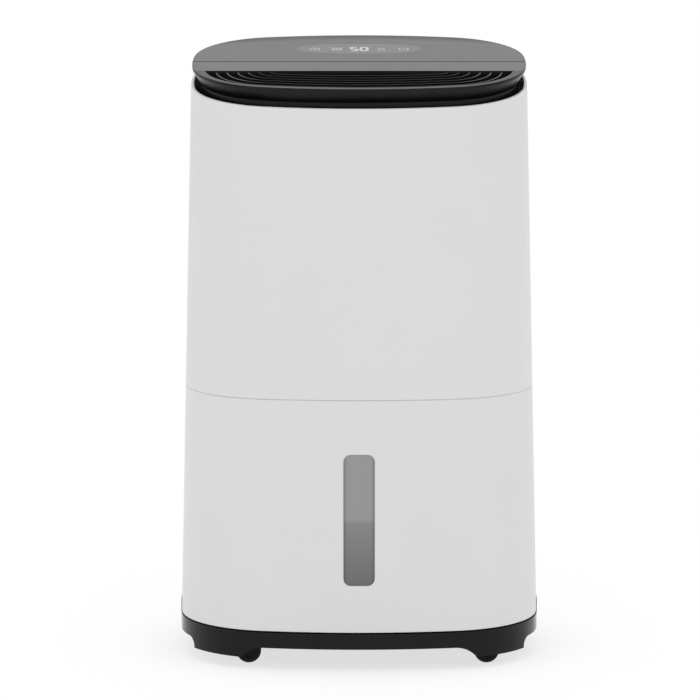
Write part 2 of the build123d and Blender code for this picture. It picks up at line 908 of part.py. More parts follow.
with BuildPart() as tank_lid:
    add(drafted(tub_inset, tub_top, lid_top, back=tub_rear))
    skirt_inset = tub_inset + tub_wall + fit_gap
    skirt_rear = tub_rear - tub_wall - fit_gap
    add(drafted(skirt_inset, tub_top - lid_skirt, tub_top, back=skirt_rear))
    add(
        drafted(
            skirt_inset + tub_wall,
            tub_top - lid_skirt,
            tub_top,
            back=skirt_rear - tub_wall,
        ),
        mode=Mode.SUBTRACT,
    )
    with BuildSketch(Plane.XY.offset(lid_top)):
        with Locations((0, drip_hole_y)):
            RectangleRounded(drip_hole_width, drip_hole_depth, drip_hole_round)
        with Locations((-pour_hole_x, pour_hole_y)):
            Circle(pour_hole_radius)
    extrude(amount=tub_top - lid_top, mode=Mode.SUBTRACT)
    for side in (-1, 1):
        lug_inner = side * (bail_half_span + lug_gap)
        lug_outer = side * (bail_half_span + lug_gap + lug_width)
        add(
            slab(
                min(lug_inner, lug_outer),
                max(lug_inner, lug_outer),
                bail_pivot_y - lug_depth / 2,
                bail_pivot_y + lug_depth / 2,
                lid_top,
                bail_pivot_z + lug_depth / 2 - bail_lift,
            )
        )
    with BuildSketch(Plane.YZ):
        with Locations((bail_pivot_y, bail_pivot_z)):
            Circle(bail_pin_radius + running_gap)
    extrude(amount=reach, both=True, mode=Mode.SUBTRACT)
tank_lid.part.label = "tank_lid"
export_step(tank_lid.part, "parts/tank_lid.step")

with BuildPart() as tank_handle:
    with BuildSketch(Plane.XY.offset(bail_pivot_z - bail_height / 2)) as bail_plan:
        bail_back = bail_pivot_y + bail_bar / 2
        bail_front = bail_pivot_y - bail_reach
        with Locations((0, (bail_back + bail_front) / 2)):
            Rectangle(2 * bail_half_span, bail_back - bail_front)
        with Locations((0, (bail_back + bail_front) / 2 + bail_bar)):
            Rectangle(2 * (bail_half_span - bail_bar), bail_back - bail_front, mode=Mode.SUBTRACT)
        fillet(bail_plan.vertices().group_by(Axis.Y)[0], bail_corner)
        fillet(bail_plan.vertices().group_by(Axis.Y)[-1], bail_end_round)
    extrude(amount=bail_height)
    with BuildSketch(Plane.YZ.offset(-bail_half_span), Plane.YZ.offset(bail_half_span)):
        with Locations((bail_pivot_y, bail_pivot_z)):
            Circle(bail_pin_radius)
    extrude(amount=bail_pin_length, both=True)
tank_handle.part.label = "tank_handle"
export_step(tank_handle.part, "parts/tank_handle.step")

with BuildPart() as tank_float:
    pin_front = tub_rear - tub_wall - float_pin_length
    float_back = tub_rear - tub_wall - float_end_gap
    hub_front = pin_front + float_end_gap
    add(axial_disc(float_pivot_x, float_back, hub_front, float_pivot_z, float_hub_radius))
    add(
        slab(
            float_pivot_x,
            float_pivot_x + float_arm,
            (float_back + pin_front) / 2 - float_pin_radius,
            (float_back + pin_front) / 2 + float_pin_radius,
            float_pivot_z - float_pin_radius,
            float_pivot_z + float_pin_radius,
        )
    )
    add(
        slab(
            float_pivot_x + float_arm - float_width / 2,
            float_pivot_x + float_arm + float_width / 2,
            float_back - float_depth,
            float_back,
            float_pivot_z - float_height / 2,
            float_pivot_z + float_height / 2,
        )
    )
    add(
        axial_disc(
            float_pivot_x, tub_rear, pin_front, float_pivot_z, float_pin_radius + running_gap
        ),
        mode=Mode.SUBTRACT,
    )
tank_float.part.label = "tank_float"
export_step(tank_float.part, "parts/tank_float.step")

# Inner frame: an upright wall behind the tank, a shelf over the compressor,
# and an upright plate that carries the blower
with BuildPart() as bulkhead:
    add(
        drafted(
            bulkhead_inset, plinth_top, mid_deck_bottom, front=bulkhead_y, back=bulkhead_rear
        )
    )
bulkhead.part.label = "bulkhead"
export_step(bulkhead.part, "parts/bulkhead.step")

with BuildPart() as mid_deck:
    add(drafted(shell_inner + fit_gap, mid_deck_bottom, mid_deck_top, front=bulkhead_y))
    for side in (-deck_screw_x, deck_screw_x):
        lug_back = shell_y(deck_screw_x, mid_deck_top) - screw_boss_length
        add(
            slab(
                side - screw_post_half,
                side + screw_post_half,
                lug_back - 2 * screw_post_half,
                lug_back,
                deck_screw_z - screw_post_half,
                mid_deck_top,
            )
        )
        add(
            slab(
                side - screw_boss_radius - fit_gap,
                side + screw_boss_radius + fit_gap,
                lug_back,
                reach,
                mid_deck_bottom,
                mid_deck_top,
            ),
            mode=Mode.SUBTRACT,
        )
        add(axial_disc(side, reach, 0, deck_screw_z, screw_radius), mode=Mode.SUBTRACT)
    with BuildSketch(Plane.XY.offset(mid_deck_top)):
        with Locations((accumulator_x, evaporator_y), (discharge_x, discharge_y)):
            Circle(pipe_hole_radius)
    extrude(amount=-mid_deck_thickness, mode=Mode.SUBTRACT)
mid_deck.part.label = "mid_deck"
export_step(mid_deck.part, "parts/mid_deck.step")

with BuildPart() as fan_plate:
    add(
        drafted(
            shell_inner + fit_gap,
            mid_deck_top,
            fan_plate_top,
            front=fan_plate_y,
            back=fan_plate_rear,
        )
    )
    add(axial_disc(0, reach, -reach, fan_height, fan_inlet_radius), mode=Mode.SUBTRACT)
    spout_half = spout_width / 2 + fit_gap
    add(
        slab(
            -spout_half,
            spout_half,
            fan_plate_y,
            fan_plate_rear,
            mid_deck_top,
            mid_deck_top + spout_height + fit_gap,
        ),
        mode=Mode.SUBTRACT,
    )
fan_plate.part.label = "fan_plate"
export_step(fan_plate.part, "parts/fan_plate.step")

# Blower: scroll, motor on its front wall, and a drum of blades on the shaft
with BuildPart() as fan_scroll:
    with BuildSketch(Plane.XZ.offset(-fan_plate_y)):
        with Locations((0, fan_height)):
            Circle(scroll_radius)
        with Locations(((scroll_tongue - scroll_radius) / 2, (fan_height + scroll_top) / 2)):
            Rectangle(scroll_tongue + scroll_radius, scroll_top - fan_height)
    extrude(amount=fan_plate_y - scroll_front)
    with BuildSketch(Plane.XZ.offset(-fan_plate_y)):
        with Locations((0, fan_height)):
            Circle(scroll_radius - scroll_wall)
        with Locations(((scroll_tongue - scroll_radius) / 2, (fan_height + scroll_top) / 2)):
            Rectangle(scroll_tongue + scroll_radius - 2 * scroll_wall, scroll_top - fan_height)
    extrude(amount=fan_plate_y - scroll_front - scroll_wall, mode=Mode.SUBTRACT)
    add(axial_disc(0, 0, -reach, fan_height, shaft_hole_radius), mode=Mode.SUBTRACT)
    with BuildSketch(Plane.XZ.offset(-scroll_front)):
        with Locations((0, fan_height)):
            with PolarLocations(motor_lug_circle, motor_lugs, start_angle=45):
                Circle(motor_screw_radius)
    extrude(amount=-scroll_wall, mode=Mode.SUBTRACT)
fan_scroll.part.label = "fan_scroll"
export_step(fan_scroll.part, "parts/fan_scroll.step")

with BuildPart() as fan_motor:
    with BuildSketch(Plane.XZ.offset(-scroll_front)):
        with Locations((0, fan_height)):
            Circle(motor_radius)
    extrude(amount=motor_length)
    chamfer(fan_motor.faces().sort_by(Axis.Y)[0].edges(), motor_edge)
    with BuildSketch(Plane.XZ.offset(motor_length - scroll_front)):
        with Locations((0, fan_height)):
            Circle(motor_bell_radius)
    extrude(amount=motor_bell_length)
    with BuildSketch(Plane.XZ.offset(-scroll_front)):
        with Locations((0, fan_height)):
            with PolarLocations(motor_lug_circle / 2, motor_lugs, start_angle=45):
                SlotOverall(motor_lug_circle + 2 * motor_lug_radius, 2 * motor_lug_radius)
    extrude(amount=motor_lug)
    with BuildSketch(Plane.XZ.offset(-scroll_front)):
        with Locations((0, fan_height)):
            with PolarLocations(motor_lug_circle, motor_lugs, start_angle=45):
                Circle(motor_screw_radius)
            Circle(shaft_radius + running_gap)
    extrude(amount=motor_length / 2, mode=Mode.SUBTRACT)
fan_motor.part.label = "fan_motor"
export_step(fan_motor.part, "parts/fan_motor.step")

with BuildPart() as motor_screws:
    with BuildSketch(Plane.XZ.offset(-scroll_front - scroll_wall)):
        with Locations((0, fan_height)):
            with PolarLocations(motor_lug_circle, motor_lugs, start_angle=45):
                Circle(motor_screw_radius)
    extrude(amount=scroll_wall + motor_lug)
    with BuildSketch(Plane.XZ.offset(-scroll_front + motor_lug)):
        with Locations((0, fan_height)):
            with PolarLocations(motor_lug_circle, motor_lugs, start_angle=45):
                Circle(motor_screw_head_radius)
    extrude(amount=motor_screw_head)
motor_screws.part.label = "motor_screws"
export_step(motor_screws.part, "parts/motor_screws.step")

with BuildPart() as blower_wheel:
    wheel_back = Plane.XZ.offset(-blower_front)
    with BuildSketch(wheel_back):
        with Locations((0, fan_height)):
            Circle(blower_radius)
    extrude(amount=-blower_back_plate)
    with BuildSketch(wheel_back):
        with Locations((0, fan_height)):
            with PolarLocations((blower_radius + blower_bore) / 2, blower_blades):
                Rectangle(blade_chord, blade_thickness, rotation=blade_lean)
    extrude(amount=-blower_depth)
    with BuildSketch(wheel_back.offset(-blower_depth)):
        with Locations((0, fan_height)):
            Circle(blower_radius)
            Circle(blower_bore, mode=Mode.SUBTRACT)
    extrude(amount=blower_ring)
    with BuildSketch(wheel_back):
        with Locations((0, fan_height)):
            Circle(blower_hub_radius)
    extrude(amount=-blower_hub_length)
    with BuildSketch(wheel_back):
        with Locations((0, fan_height)):
            Circle(shaft_radius)
    extrude(amount=-blower_hub_length, mode=Mode.SUBTRACT)
blower_wheel.part.label = "blower_wheel"
export_step(blower_wheel.part, "parts/blower_wheel.step")

with BuildPart() as motor_shaft:
    shaft_front = scroll_front - motor_length / 2 + fit_gap
    shaft_back = blower_front + blower_hub_length
    add(axial_disc(0, shaft_back, shaft_front, fan_height, shaft_radius))
motor_shaft.part.label = "motor_shaft"
export_step(motor_shaft.part, "parts/motor_shaft.step")

# Cooling circuit: cold coil behind the filter, warm coil in front of it
with BuildPart() as evaporator:
    add(coil(evaporator_y))
evaporator.part.label = "evaporator"
export_step(evaporator.part, "parts/evaporator.step")

with BuildPart() as condenser:
    add(coil(condenser_y))
condenser.part.label = "condenser"
export_step(condenser.part, "parts/condenser.step")

with BuildPart() as drip_tray:
    tray_floor = mid_deck_top + tray_wall
    tray_top = mid_deck_top + tray_height
    channel_half = spout_width / 2 - tray_wall
    nozzle_y = spout_front + spout_width / 2
    add(slab(-tray_half_width, tray_half_width, tray_front, tray_rear, mid_deck_top, tray_top))
    add(
        slab(
            tray_wall - tray_half_width,
            tray_half_width - tray_wall,
            tray_front + tray_wall,
            tray_rear - tray_wall,
            tray_floor,
            tray_top,
        ),
        mode=Mode.SUBTRACT,
    )
    for rib_x in (-tray_half_width / 2, 0, tray_half_width / 2):
        add(
            slab(
                rib_x - tray_wall,
                rib_x + tray_wall,
                condenser_y - coil_depth / 2,
                evaporator_y + coil_depth / 2,
                tray_floor,
                coil_bottom,
            )
        )
    add(
        slab(
            -spout_width / 2,
            spout_width / 2,
            spout_front,
            tray_front,
            mid_deck_top,
            mid_deck_top + spout_height,
        )
    )
    add(
        slab(
            -channel_half,
            channel_half,
            spout_front + tray_wall,
            tray_front + tray_wall,
            tray_floor,
            mid_deck_top + spout_height,
        ),
        mode=Mode.SUBTRACT,
    )
    with BuildSketch(Plane.XY.offset(mid_deck_top)):
        with Locations((0, nozzle_y)):
            Circle(nozzle_radius)
    extrude(amount=-nozzle_length)
    with BuildSketch(Plane.XY.offset(tray_floor)):
        with Locations((0, nozzle_y)):
            Circle(nozzle_bore)
    extrude(amount=-tray_wall - nozzle_length, mode=Mode.SUBTRACT)
drip_tray.part.label = "drip_tray"
export_step(drip_tray.part, "parts/drip_tray.step")

with BuildPart() as compressor:
    with BuildSketch(Plane.XY.offset(compressor_bottom)):
        with Locations((compressor_x, compressor_y)):
            Circle(compressor_radius)
    extrude(amount=compressor_top - compressor_bottom)
    chamfer(compressor.edges().filter_by(GeomType.CIRCLE), compressor_dome)
    chamfer(compressor.edges().filter_by(GeomType.CIRCLE), compressor_dome_edge)
    with BuildSketch(Plane.XY.offset((compressor_bottom + compressor_top) / 2)):
        with Locations((compressor_x, compressor_y)):
            Circle(compressor_radius + weld_bead)
    extrude(amount=weld_bead, both=True)
    with BuildSketch(Plane.XY.offset(foot_plate_bottom)):
        with Locations((compressor_x, compressor_y)):
            Circle(compressor_radius - compressor_dome)
            for angle in stud_angles:
                with PolarLocations(stud_circle / 2, 1, start_angle=angle):
                    SlotOverall(stud_circle + 2 * foot_arm_half, 2 * foot_arm_half)
                with PolarLocations(stud_circle, 1, start_angle=angle):
                    Circle(grommet_bore, mode=Mode.SUBTRACT)
    extrude(amount=compressor_bottom + foot_plate_thickness - foot_plate_bottom)
    with BuildSketch(Plane.XY.offset(foot_plate_bottom + foot_plate_thickness)):
        with Locations((compressor_x, compressor_y)):
            for angle in stud_angles:
                with PolarLocations(stud_circle, 1, start_angle=angle):
                    Circle(foot_arm_half + foot_arm_step)
    extrude(amount=compressor_bottom - foot_plate_bottom, mode=Mode.SUBTRACT)
    add(
        slab(
            compressor_x + compressor_radius / 2,
            compressor_x + compressor_radius + terminal_box_depth,
            compressor_y - terminal_box_half,
            compressor_y + terminal_box_half,
            terminal_box_bottom,
            terminal_box_bottom + 2 * terminal_box_half,
        )
    )
compressor.part.label = "compressor"
export_step(compressor.part, "parts/compressor.step")

with BuildPart() as compressor_grommets:
    with BuildSketch(Plane.XY.offset(base_floor)):
        with Locations((compressor_x, compressor_y)):
            for angle in stud_angles:
                with PolarLocations(stud_circle, 1, start_angle=angle):
                    Circle(grommet_radius)
                    Circle(grommet_bore, mode=Mode.SUBTRACT)
    extrude(amount=foot_plate_bottom - base_floor)
compressor_grommets.part.label = "compressor_grommets"
export_step(compressor_grommets.part, "parts/compressor_grommets.step")

with BuildPart() as compressor_studs:
    nut_bottom = foot_plate_bottom + foot_plate_thickness
    with BuildSketch(Plane.XY.offset(base_floor)):
        with Locations((compressor_x, compressor_y)):
            for angle in stud_angles:
                with PolarLocations(stud_circle, 1, start_angle=angle):
                    Circle(stud_radius)
    extrude(amount=nut_bottom + stud_rise - base_floor)
    with BuildSketch(Plane.XY.offset(nut_bottom)):
        with Locations((compressor_x, compressor_y)):
            for angle in stud_angles:
                with PolarLocations(stud_circle, 1, start_angle=angle):
                    RegularPolygon(nut_radius, 6)
    extrude(amount=nut_height)
compressor_studs.part.label = "compressor_studs"
export_step(compressor_studs.part, "parts/compressor_studs.step")

with BuildPart() as accumulator:
    with BuildSketch(Plane.XY.offset(accumulator_bottom)):
        with Locations((accumulator_x, evaporator_y)):
            Circle(accumulator_radius)
    extrude(amount=accumulator_top - accumulator_bottom)
    chamfer(accumulator.edges().filter_by(GeomType.CIRCLE), accumulator_dome)
    chamfer(accumulator.edges().filter_by(GeomType.CIRCLE), accumulator_dome_edge)
    strap_middle = (accumulator_bottom + accumulator_top) / 2
    add(
        slab(
            accumulator_x,
            compressor_x,
            evaporator_y - strap_width,
            evaporator_y,
            strap_middle,
            strap_middle + strap_width,
        )
    )
    with BuildSketch(Plane.XY.offset(strap_middle)):
        with Locations((compressor_x, compressor_y)):
            Circle(compressor_radius + weld_bead + fit_gap)
    extrude(amount=strap_width, mode=Mode.SUBTRACT)
accumulator.part.label = "accumulator"
export_step(accumulator.part, "parts/accumulator.step")

coil_side = coil_half_width + coil_plate
with BuildPart() as suction_pipe:
    add(
        tube(
            [
                (accumulator_x, evaporator_y, accumulator_top),
                (accumulator_x, evaporator_y, coil_low_joint),
                (-coil_side, evaporator_y, coil_low_joint),
            ],
            pipe_radius,
            pipe_bend,
        )
    )
suction_pipe.part.label = "suction_pipe"
export_step(suction_pipe.part, "parts/suction_pipe.step")

with BuildPart() as discharge_pipe:
    add(
        tube(
            [
                (compressor_x + discharge_shift, discharge_y, compressor_top),
                (compressor_x + discharge_shift, discharge_y, discharge_run_z),
                (discharge_x, discharge_y, discharge_run_z),
                (discharge_x, discharge_y, coil_high_joint),
                (-coil_side, discharge_y, coil_high_joint),
            ],
            pipe_radius,
            pipe_bend,
        )
    )
discharge_pipe.part.label = "discharge_pipe"
export_step(discharge_pipe.part, "parts/discharge_pipe.step")

with BuildPart() as liquid_line:
    add(
        tube(
            [
                (coil_side, condenser_y, coil_low_joint),
                (liquid_x, condenser_y, coil_low_joint),
                (liquid_x, condenser_y, coil_high_joint),
                (liquid_x, evaporator_y, coil_high_joint),
                (coil_side, evaporator_y, coil_high_joint),
            ],
            liquid_radius,
            liquid_bend,
        )
    )
    with BuildSketch(Plane.XY.offset((coil_low_joint + coil_high_joint) / 2)):
        with Locations((liquid_x, condenser_y)):
            Circle(drier_radius)
    extrude(amount=drier_half_length, both=True)
liquid_line.part.label = "liquid_line"
export_step(liquid_line.part, "parts/liquid_line.step")

# Electrics behind the upright wall
with BuildPart() as control_box:
    box_back = bulkhead_rear + control_box_depth
    add(
        slab(
            control_box_left,
            control_box_right,
            bulkhead_rear,
            box_back,
            control_box_bottom,
            control_box_top,
        )
    )
    add(
        slab(
            control_box_left + control_box_wall,
            control_box_right - control_box_wall,
            bulkhead_rear + control_box_wall,
            box_back,
            control_box_bottom + control_box_wall,
            control_box_top - control_box_wall,
        ),
        mode=Mode.SUBTRACT,
    )
    standoff = Plane.XZ.offset(-bulkhead_rear - control_box_wall)
    with BuildSketch(standoff):
        with Locations((board_x, board_z)):
            with GridLocations(board_hole_x, board_hole_z, 2, 2):
                Circle(board_standoff)
    extrude(amount=-board_standoff)
control_box.part.label = "control_box"
export_step(control_box.part, "parts/control_box.step")

with BuildPart() as main_board:
    board_front = bulkhead_rear + control_box_wall + board_standoff
    board_back = board_front + board_thickness
    board_margin = 2 * control_box_wall
    add(
        slab(
            control_box_left + board_margin,
            control_box_right - board_margin,
            board_front,
            board_back,
            control_box_bottom + board_margin,
            control_box_top - board_margin,
        )
    )
    with BuildSketch(Plane.XZ.offset(-board_back)):
        with Locations((board_x - board_hole_x / 4, board_z + board_hole_z / 4)):
            Rectangle(relay_width, relay_width)
        with Locations((board_x + board_hole_x / 4, board_z - board_hole_z / 4)):
            Circle(small_part_radius)
        with Locations((board_x + board_hole_x / 4, board_z + board_hole_z / 4)):
            Rectangle(small_part_width, relay_width)
    extrude(amount=-relay_height)
main_board.part.label = "main_board"
export_step(main_board.part, "parts/main_board.step")

with BuildPart() as run_capacitor:
    with BuildSketch(Plane.XY.offset(base_floor)):
        with Locations((capacitor_x, compressor_y)):
            Circle(capacitor_radius)
    extrude(amount=capacitor_height)
    chamfer(run_capacitor.faces().sort_by(Axis.Z)[-1].edges(), capacitor_edge)
    with BuildSketch(Plane.XY.offset(base_floor + capacitor_height)):
        with Locations((capacitor_x, compressor_y)):
            with GridLocations(terminal_spread, 1, 2, 1):
                Rectangle(board_thickness, terminal_width)
    extrude(amount=terminal_width)
run_capacitor.part.label = "run_capacitor"
export_step(run_capacitor.part, "parts/run_capacitor.step")

with BuildPart() as level_sensor:
    add(
        slab(
            float_pivot_x + float_arm - sensor_half,
            float_pivot_x + float_arm + sensor_half,
            bulkhead_rear,
            bulkhead_rear + sensor_depth,
            control_box_top + level_sensor_lift,
            control_box_top + level_sensor_lift + 2 * sensor_half,
        )
    )
level_sensor.part.label = "level_sensor"
export_step(level_sensor.part, "parts/level_sensor.step")

with BuildPart() as humidity_sensor:
    add(
        slab(
            humidity_x - sensor_half,
            humidity_x + sensor_half,
            fan_plate_rear,
            fan_plate_rear + sensor_depth,
            fan_height - sensor_half,
            fan_height + 2 * sensor_half,
        )
    )
    with BuildSketch(Plane.XZ.offset(-fan_plate_rear - sensor_depth)):
        with Locations((humidity_x, fan_height + sensor_half / 2)):
            with GridLocations(1, sensor_slot_pitch, 1, sensor_slots):
                Rectangle(sensor_half, sensor_slot)
    extrude(amount=sensor_slot, mode=Mode.SUBTRACT)
humidity_sensor.part.label = "humidity_sensor"
export_step(humidity_sensor.part, "parts/humidity_sensor.step")

# Back cover: lower half wraps forward to the tank, upper half meets the front cover
with BuildPart() as rear_cover:
    add(shell(base_rear_top, front=cover_split))
    add(drafted(shell_inset, base_rear_top, tank_top, front=tank_split, back=cover_split))
    add(drafted(shell_inner, base_rear_top, tank_top), mode=Mode.SUBTRACT)
    for screw_x, screw_z in rear_screws:
        boss_back = shell_y(screw_x, screw_z) - shell_wall / 2
        boss_front = shell_y(screw_x, screw_z) - screw_boss_length
        seat = shell_y(screw_x, screw_z) - screw_sink
        add(axial_disc(screw_x, boss_back, boss_front, screw_z, screw_boss_radius))
        add(
            axial_disc(screw_x, reach, seat, screw_z, screw_head_radius + fit_gap),
            mode=Mode.SUBTRACT,
        )
        add(
            axial_disc(screw_x, reach, boss_front, screw_z, screw_radius + fit_gap),
            mode=Mode.SUBTRACT,
        )
    add(
        upright_window(grille_half_width, grille_bottom, grille_top, grille_corner, 1),
        mode=Mode.SUBTRACT,
    )
    add(axial_disc(drain_x, reach, 0, drain_z, drain_radius + fit_gap), mode=Mode.SUBTRACT)
    add(axial_disc(gland_x, reach, 0, gland_z, gland_radius + fit_gap), mode=Mode.SUBTRACT)
rear_cover.part.label = "rear_cover"
export_step(rear_cover.part, "parts/rear_cover.step")

with BuildPart() as front_cover:
    add(shell(cover_bottom, back=cover_split - tank_gap))
front_cover.part.label = "front_cover"
export_step(front_cover.part, "parts/front_cover.step")

with BuildPart() as cover_screws:
    for screw_x, screw_z in rear_screws:
        seat = shell_y(screw_x, screw_z) - screw_sink
        add(axial_disc(screw_x, seat + screw_head, seat, screw_z, screw_head_radius))
        add(axial_disc(screw_x, seat, seat - screw_length, screw_z, screw_radius))
cover_screws.part.label = "cover_screws"
export_step(cover_screws.part, "parts/cover_screws.step")

# Inlet grille with the dust filter clipped behind it
with BuildPart() as inlet_grille:
    grille_block = upright_window(
        grille_half_width - grille_gap,
        grille_bottom + grille_gap,
        grille_top - grille_gap,
        grille_corner - grille_gap,
        1,
    )
    add(wall_patch(grille_block, shell_inset, shell_inner))
    with BuildSketch(Plane.XZ):
        with Locations((0, (grille_bottom + grille_top) / 2)):
            with GridLocations(slot_pitch_x, slot_pitch_z, slot_columns, slot_rows):
                Rectangle(slot_pitch_x - slot_bar, slot_height)
        with Locations((0, grille_top - grille_gap)):
            Rectangle(finger_notch, slot_height)
    extrude(amount=-reach, mode=Mode.SUBTRACT)
    for post_x in (-filter_post_x, filter_post_x):
        for post_z in (grille_bottom + filter_post_rise, grille_top - filter_post_rise):
            post = slab(
                post_x - filter_rim / 2,
                post_x + filter_rim / 2,
                filter_front + filter_depth,
                half_depth,
                post_z - filter_rim / 2,
                post_z + filter_rim / 2,
            )
            add(wall_patch(post, shell_inset + shell_wall / 2, half_depth / 2))
inlet_grille.part.label = "inlet_grille"
export_step(inlet_grille.part, "parts/inlet_grille.step")

with BuildPart() as filter_frame:
    with BuildSketch(Plane.XZ.offset(-filter_front)):
        with Locations((0, filter_middle)):
            Rectangle(2 * filter_half, filter_height)
            with GridLocations(filter_half, filter_height / 2, 2, 2):
                Rectangle(
                    filter_half - filter_rim, filter_height / 2 - filter_rim, mode=Mode.SUBTRACT
                )
    extrude(amount=-filter_depth)
    with BuildSketch(Plane.XZ.offset(-filter_front)):
        with Locations((0, filter_middle)):
            Rectangle(2 * filter_half - filter_rim, filter_height - filter_rim)
    extrude(amount=-filter_sheet, mode=Mode.SUBTRACT)
filter_frame.part.label = "filter_frame"
export_step(filter_frame.part, "parts/filter_frame.step")

with BuildPart() as filter_mesh:
    with BuildSketch(Plane.XZ.offset(-filter_front)):
        with Locations((0, filter_middle)):
            Rectangle(
                2 * filter_half - filter_rim - fit_gap, filter_height - filter_rim - fit_gap
            )
    extrude(amount=-filter_sheet)
filter_mesh.part.label = "filter_mesh"
export_step(filter_mesh.part, "parts/filter_mesh.step")

# Fittings in the back cover: drain outlet with its plug, and the cord's gland
with BuildPart() as drain_outlet:
    drain_face = shell_y(drain_x + drain_flange_radius, drain_z) - fit_gap
    drain_seat = drain_face - shell_wall
    add(axial_disc(drain_x, drain_face, drain_face - drain_length, drain_z, drain_radius))
    add(axial_disc(drain_x, drain_seat, drain_seat - drain_flange, drain_z, drain_flange_radius))
    add(axial_disc(drain_x, reach, 0, drain_z, drain_bore), mode=Mode.SUBTRACT)
drain_outlet.part.label = "drain_outlet"
export_step(drain_outlet.part, "parts/drain_outlet.step")

with BuildPart() as drain_plug:
    plug_seat = shell_y(drain_x - drain_flange_radius, drain_z) + fit_gap
    plug_end = plug_seat + drain_flange
    add(axial_disc(drain_x, plug_end, plug_seat, drain_z, plug_head_radius))
    add(axial_disc(drain_x, plug_seat, plug_seat - plug_length, drain_z, drain_bore - fit_gap))
    chamfer(drain_plug.faces().sort_by(Axis.Y)[-1].edges(), plug_edge)
drain_plug.part.label = "drain_plug"
export_step(drain_plug.part, "parts/drain_plug.step")

with BuildPart() as cord_gland:
    gland_seat = shell_y(gland_x - gland_flange_radius, gland_z) + fit_gap
    gland_inner = shell_y(gland_x + gland_flange_radius, gland_z) - shell_wall - fit_gap
    add(axial_disc(gland_x, gland_seat + gland_flange, gland_seat, gland_z, gland_flange_radius))
    add(axial_disc(gland_x, gland_seat, gland_inner - gland_flange, gland_z, gland_radius))
    add(
        axial_disc(gland_x, gland_inner, gland_inner - gland_flange, gland_z, gland_flange_radius)
    )
    add(axial_disc(gland_x, reach, 0, gland_z, gland_bore), mode=Mode.SUBTRACT)
    gland_rim = cord_gland.faces().sort_by(Axis.Y)[-1].edges().sort_by(SortBy.RADIUS)[-1]
    chamfer(gland_rim, gland_edge)
cord_gland.part.label = "cord_gland"
export_step(cord_gland.part, "parts/cord_gland.step")

# Deck: undercut rim on a neck, with the strip and the opening for the outlet
with BuildPart() as top_cover:
    add(deck_block(plan(deck_inset), 0, undercut_drop))
    level = Axis((0, 0, 0), deck_plane(0).z_dir)
    underside = top_cover.faces().filter_by(level).sort_by(Axis.Z)[0]
    chamfer(underside.edges(), undercut_depth, undercut_height, reference=underside)
    deck_edge = top_cover.faces().filter_by(level).sort_by(Axis.Z)[-1].edges()
    fillet(deck_edge, panel_edge)
    add(deck_block(plan(neck_inset), deck_plate, neck_drop))
    add(neck_flange_ring())
    add(
        deck_block(plan(neck_inset + neck_wall), deck_plate, 2 * neck_drop),
        mode=Mode.SUBTRACT,
    )
    add(deck_block(plan(0), -neck_drop, panel_thickness, front=panel_line), mode=Mode.SUBTRACT)
    add(
        deck_block(outlet_plan(0), -neck_drop, outlet_ledge, back=-strip_depth),
        mode=Mode.SUBTRACT,
    )
    add(
        deck_block(
            plan(0), -neck_drop, strip_seam, front=-strip_depth - strip_seam, back=-strip_depth
        ),
        mode=Mode.SUBTRACT,
    )
    add(deck_block(board_posts(), deck_plate, board_drop))
    light_well = board_plan(display_half_width + fit_gap, display_half_depth + fit_gap)
    add(deck_block(light_well, 0, board_drop), mode=Mode.SUBTRACT)
top_cover.part.label = "top_cover"
export_step(top_cover.part, "parts/top_cover.step")

with BuildPart() as control_panel:
    add(deck_block(plan(deck_inset), 0, panel_thickness))
    deck_edge = control_panel.faces().filter_by(level).sort_by(Axis.Z)[-1].edges()
    fillet(deck_edge, panel_edge)
    split(bisect_by=Plane.XZ.offset(-panel_line - panel_seam), keep=Keep.BOTTOM)
control_panel.part.label = "control_panel"
export_step(control_panel.part, "parts/control_panel.step")

with BuildPart() as display_board:
    board_outline = board_plan(board_half_width, board_half_depth)
    light_outline = board_plan(display_half_width, display_half_depth)
    add(deck_block(board_outline, board_drop, board_drop + board_thickness))
    add(deck_block(light_outline, panel_thickness + fit_gap, board_drop))
display_board.part.label = "display_board"
export_step(display_board.part, "parts/display_board.step")

# Air outlet: nested fins on cross ribs, in a ring that rests on the deck's ledge
with BuildPart() as outlet_grille:
    grille_back = -strip_depth - fit_gap
    ring_drop = outlet_ledge - grille_ring_height
    add(deck_block(outlet_plan(fit_gap), ring_drop, outlet_ledge, back=grille_back))
    add(
        deck_block(
            outlet_plan(grille_ring),
            ring_drop,
            outlet_ledge,
            back=grille_back - grille_ring / 2,
        ),
        mode=Mode.SUBTRACT,
    )
    for number in range(fin_count):
        add(deck_block(fin_ring(number), fin_drop, outlet_ledge, back=grille_back))
    for rib_number in range(-rib_pairs, rib_pairs + 1):
        rib = outlet_rib(rib_spacing * rib_number)
        add(deck_block(rib, rib_drop, outlet_ledge, back=grille_back))
outlet_grille.part.label = "outlet_grille"
export_step(outlet_grille.part, "parts/outlet_grille.step")
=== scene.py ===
"""Looks of the dehumidifier: finishes, touch keys, thin trim, screw heads and the studio.

Every length is in metres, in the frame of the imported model: +Z up, the front at -Y,
the origin on the floor under the middle of the body.
"""

import logging
import math
from dataclasses import dataclass, field
from enum import Enum

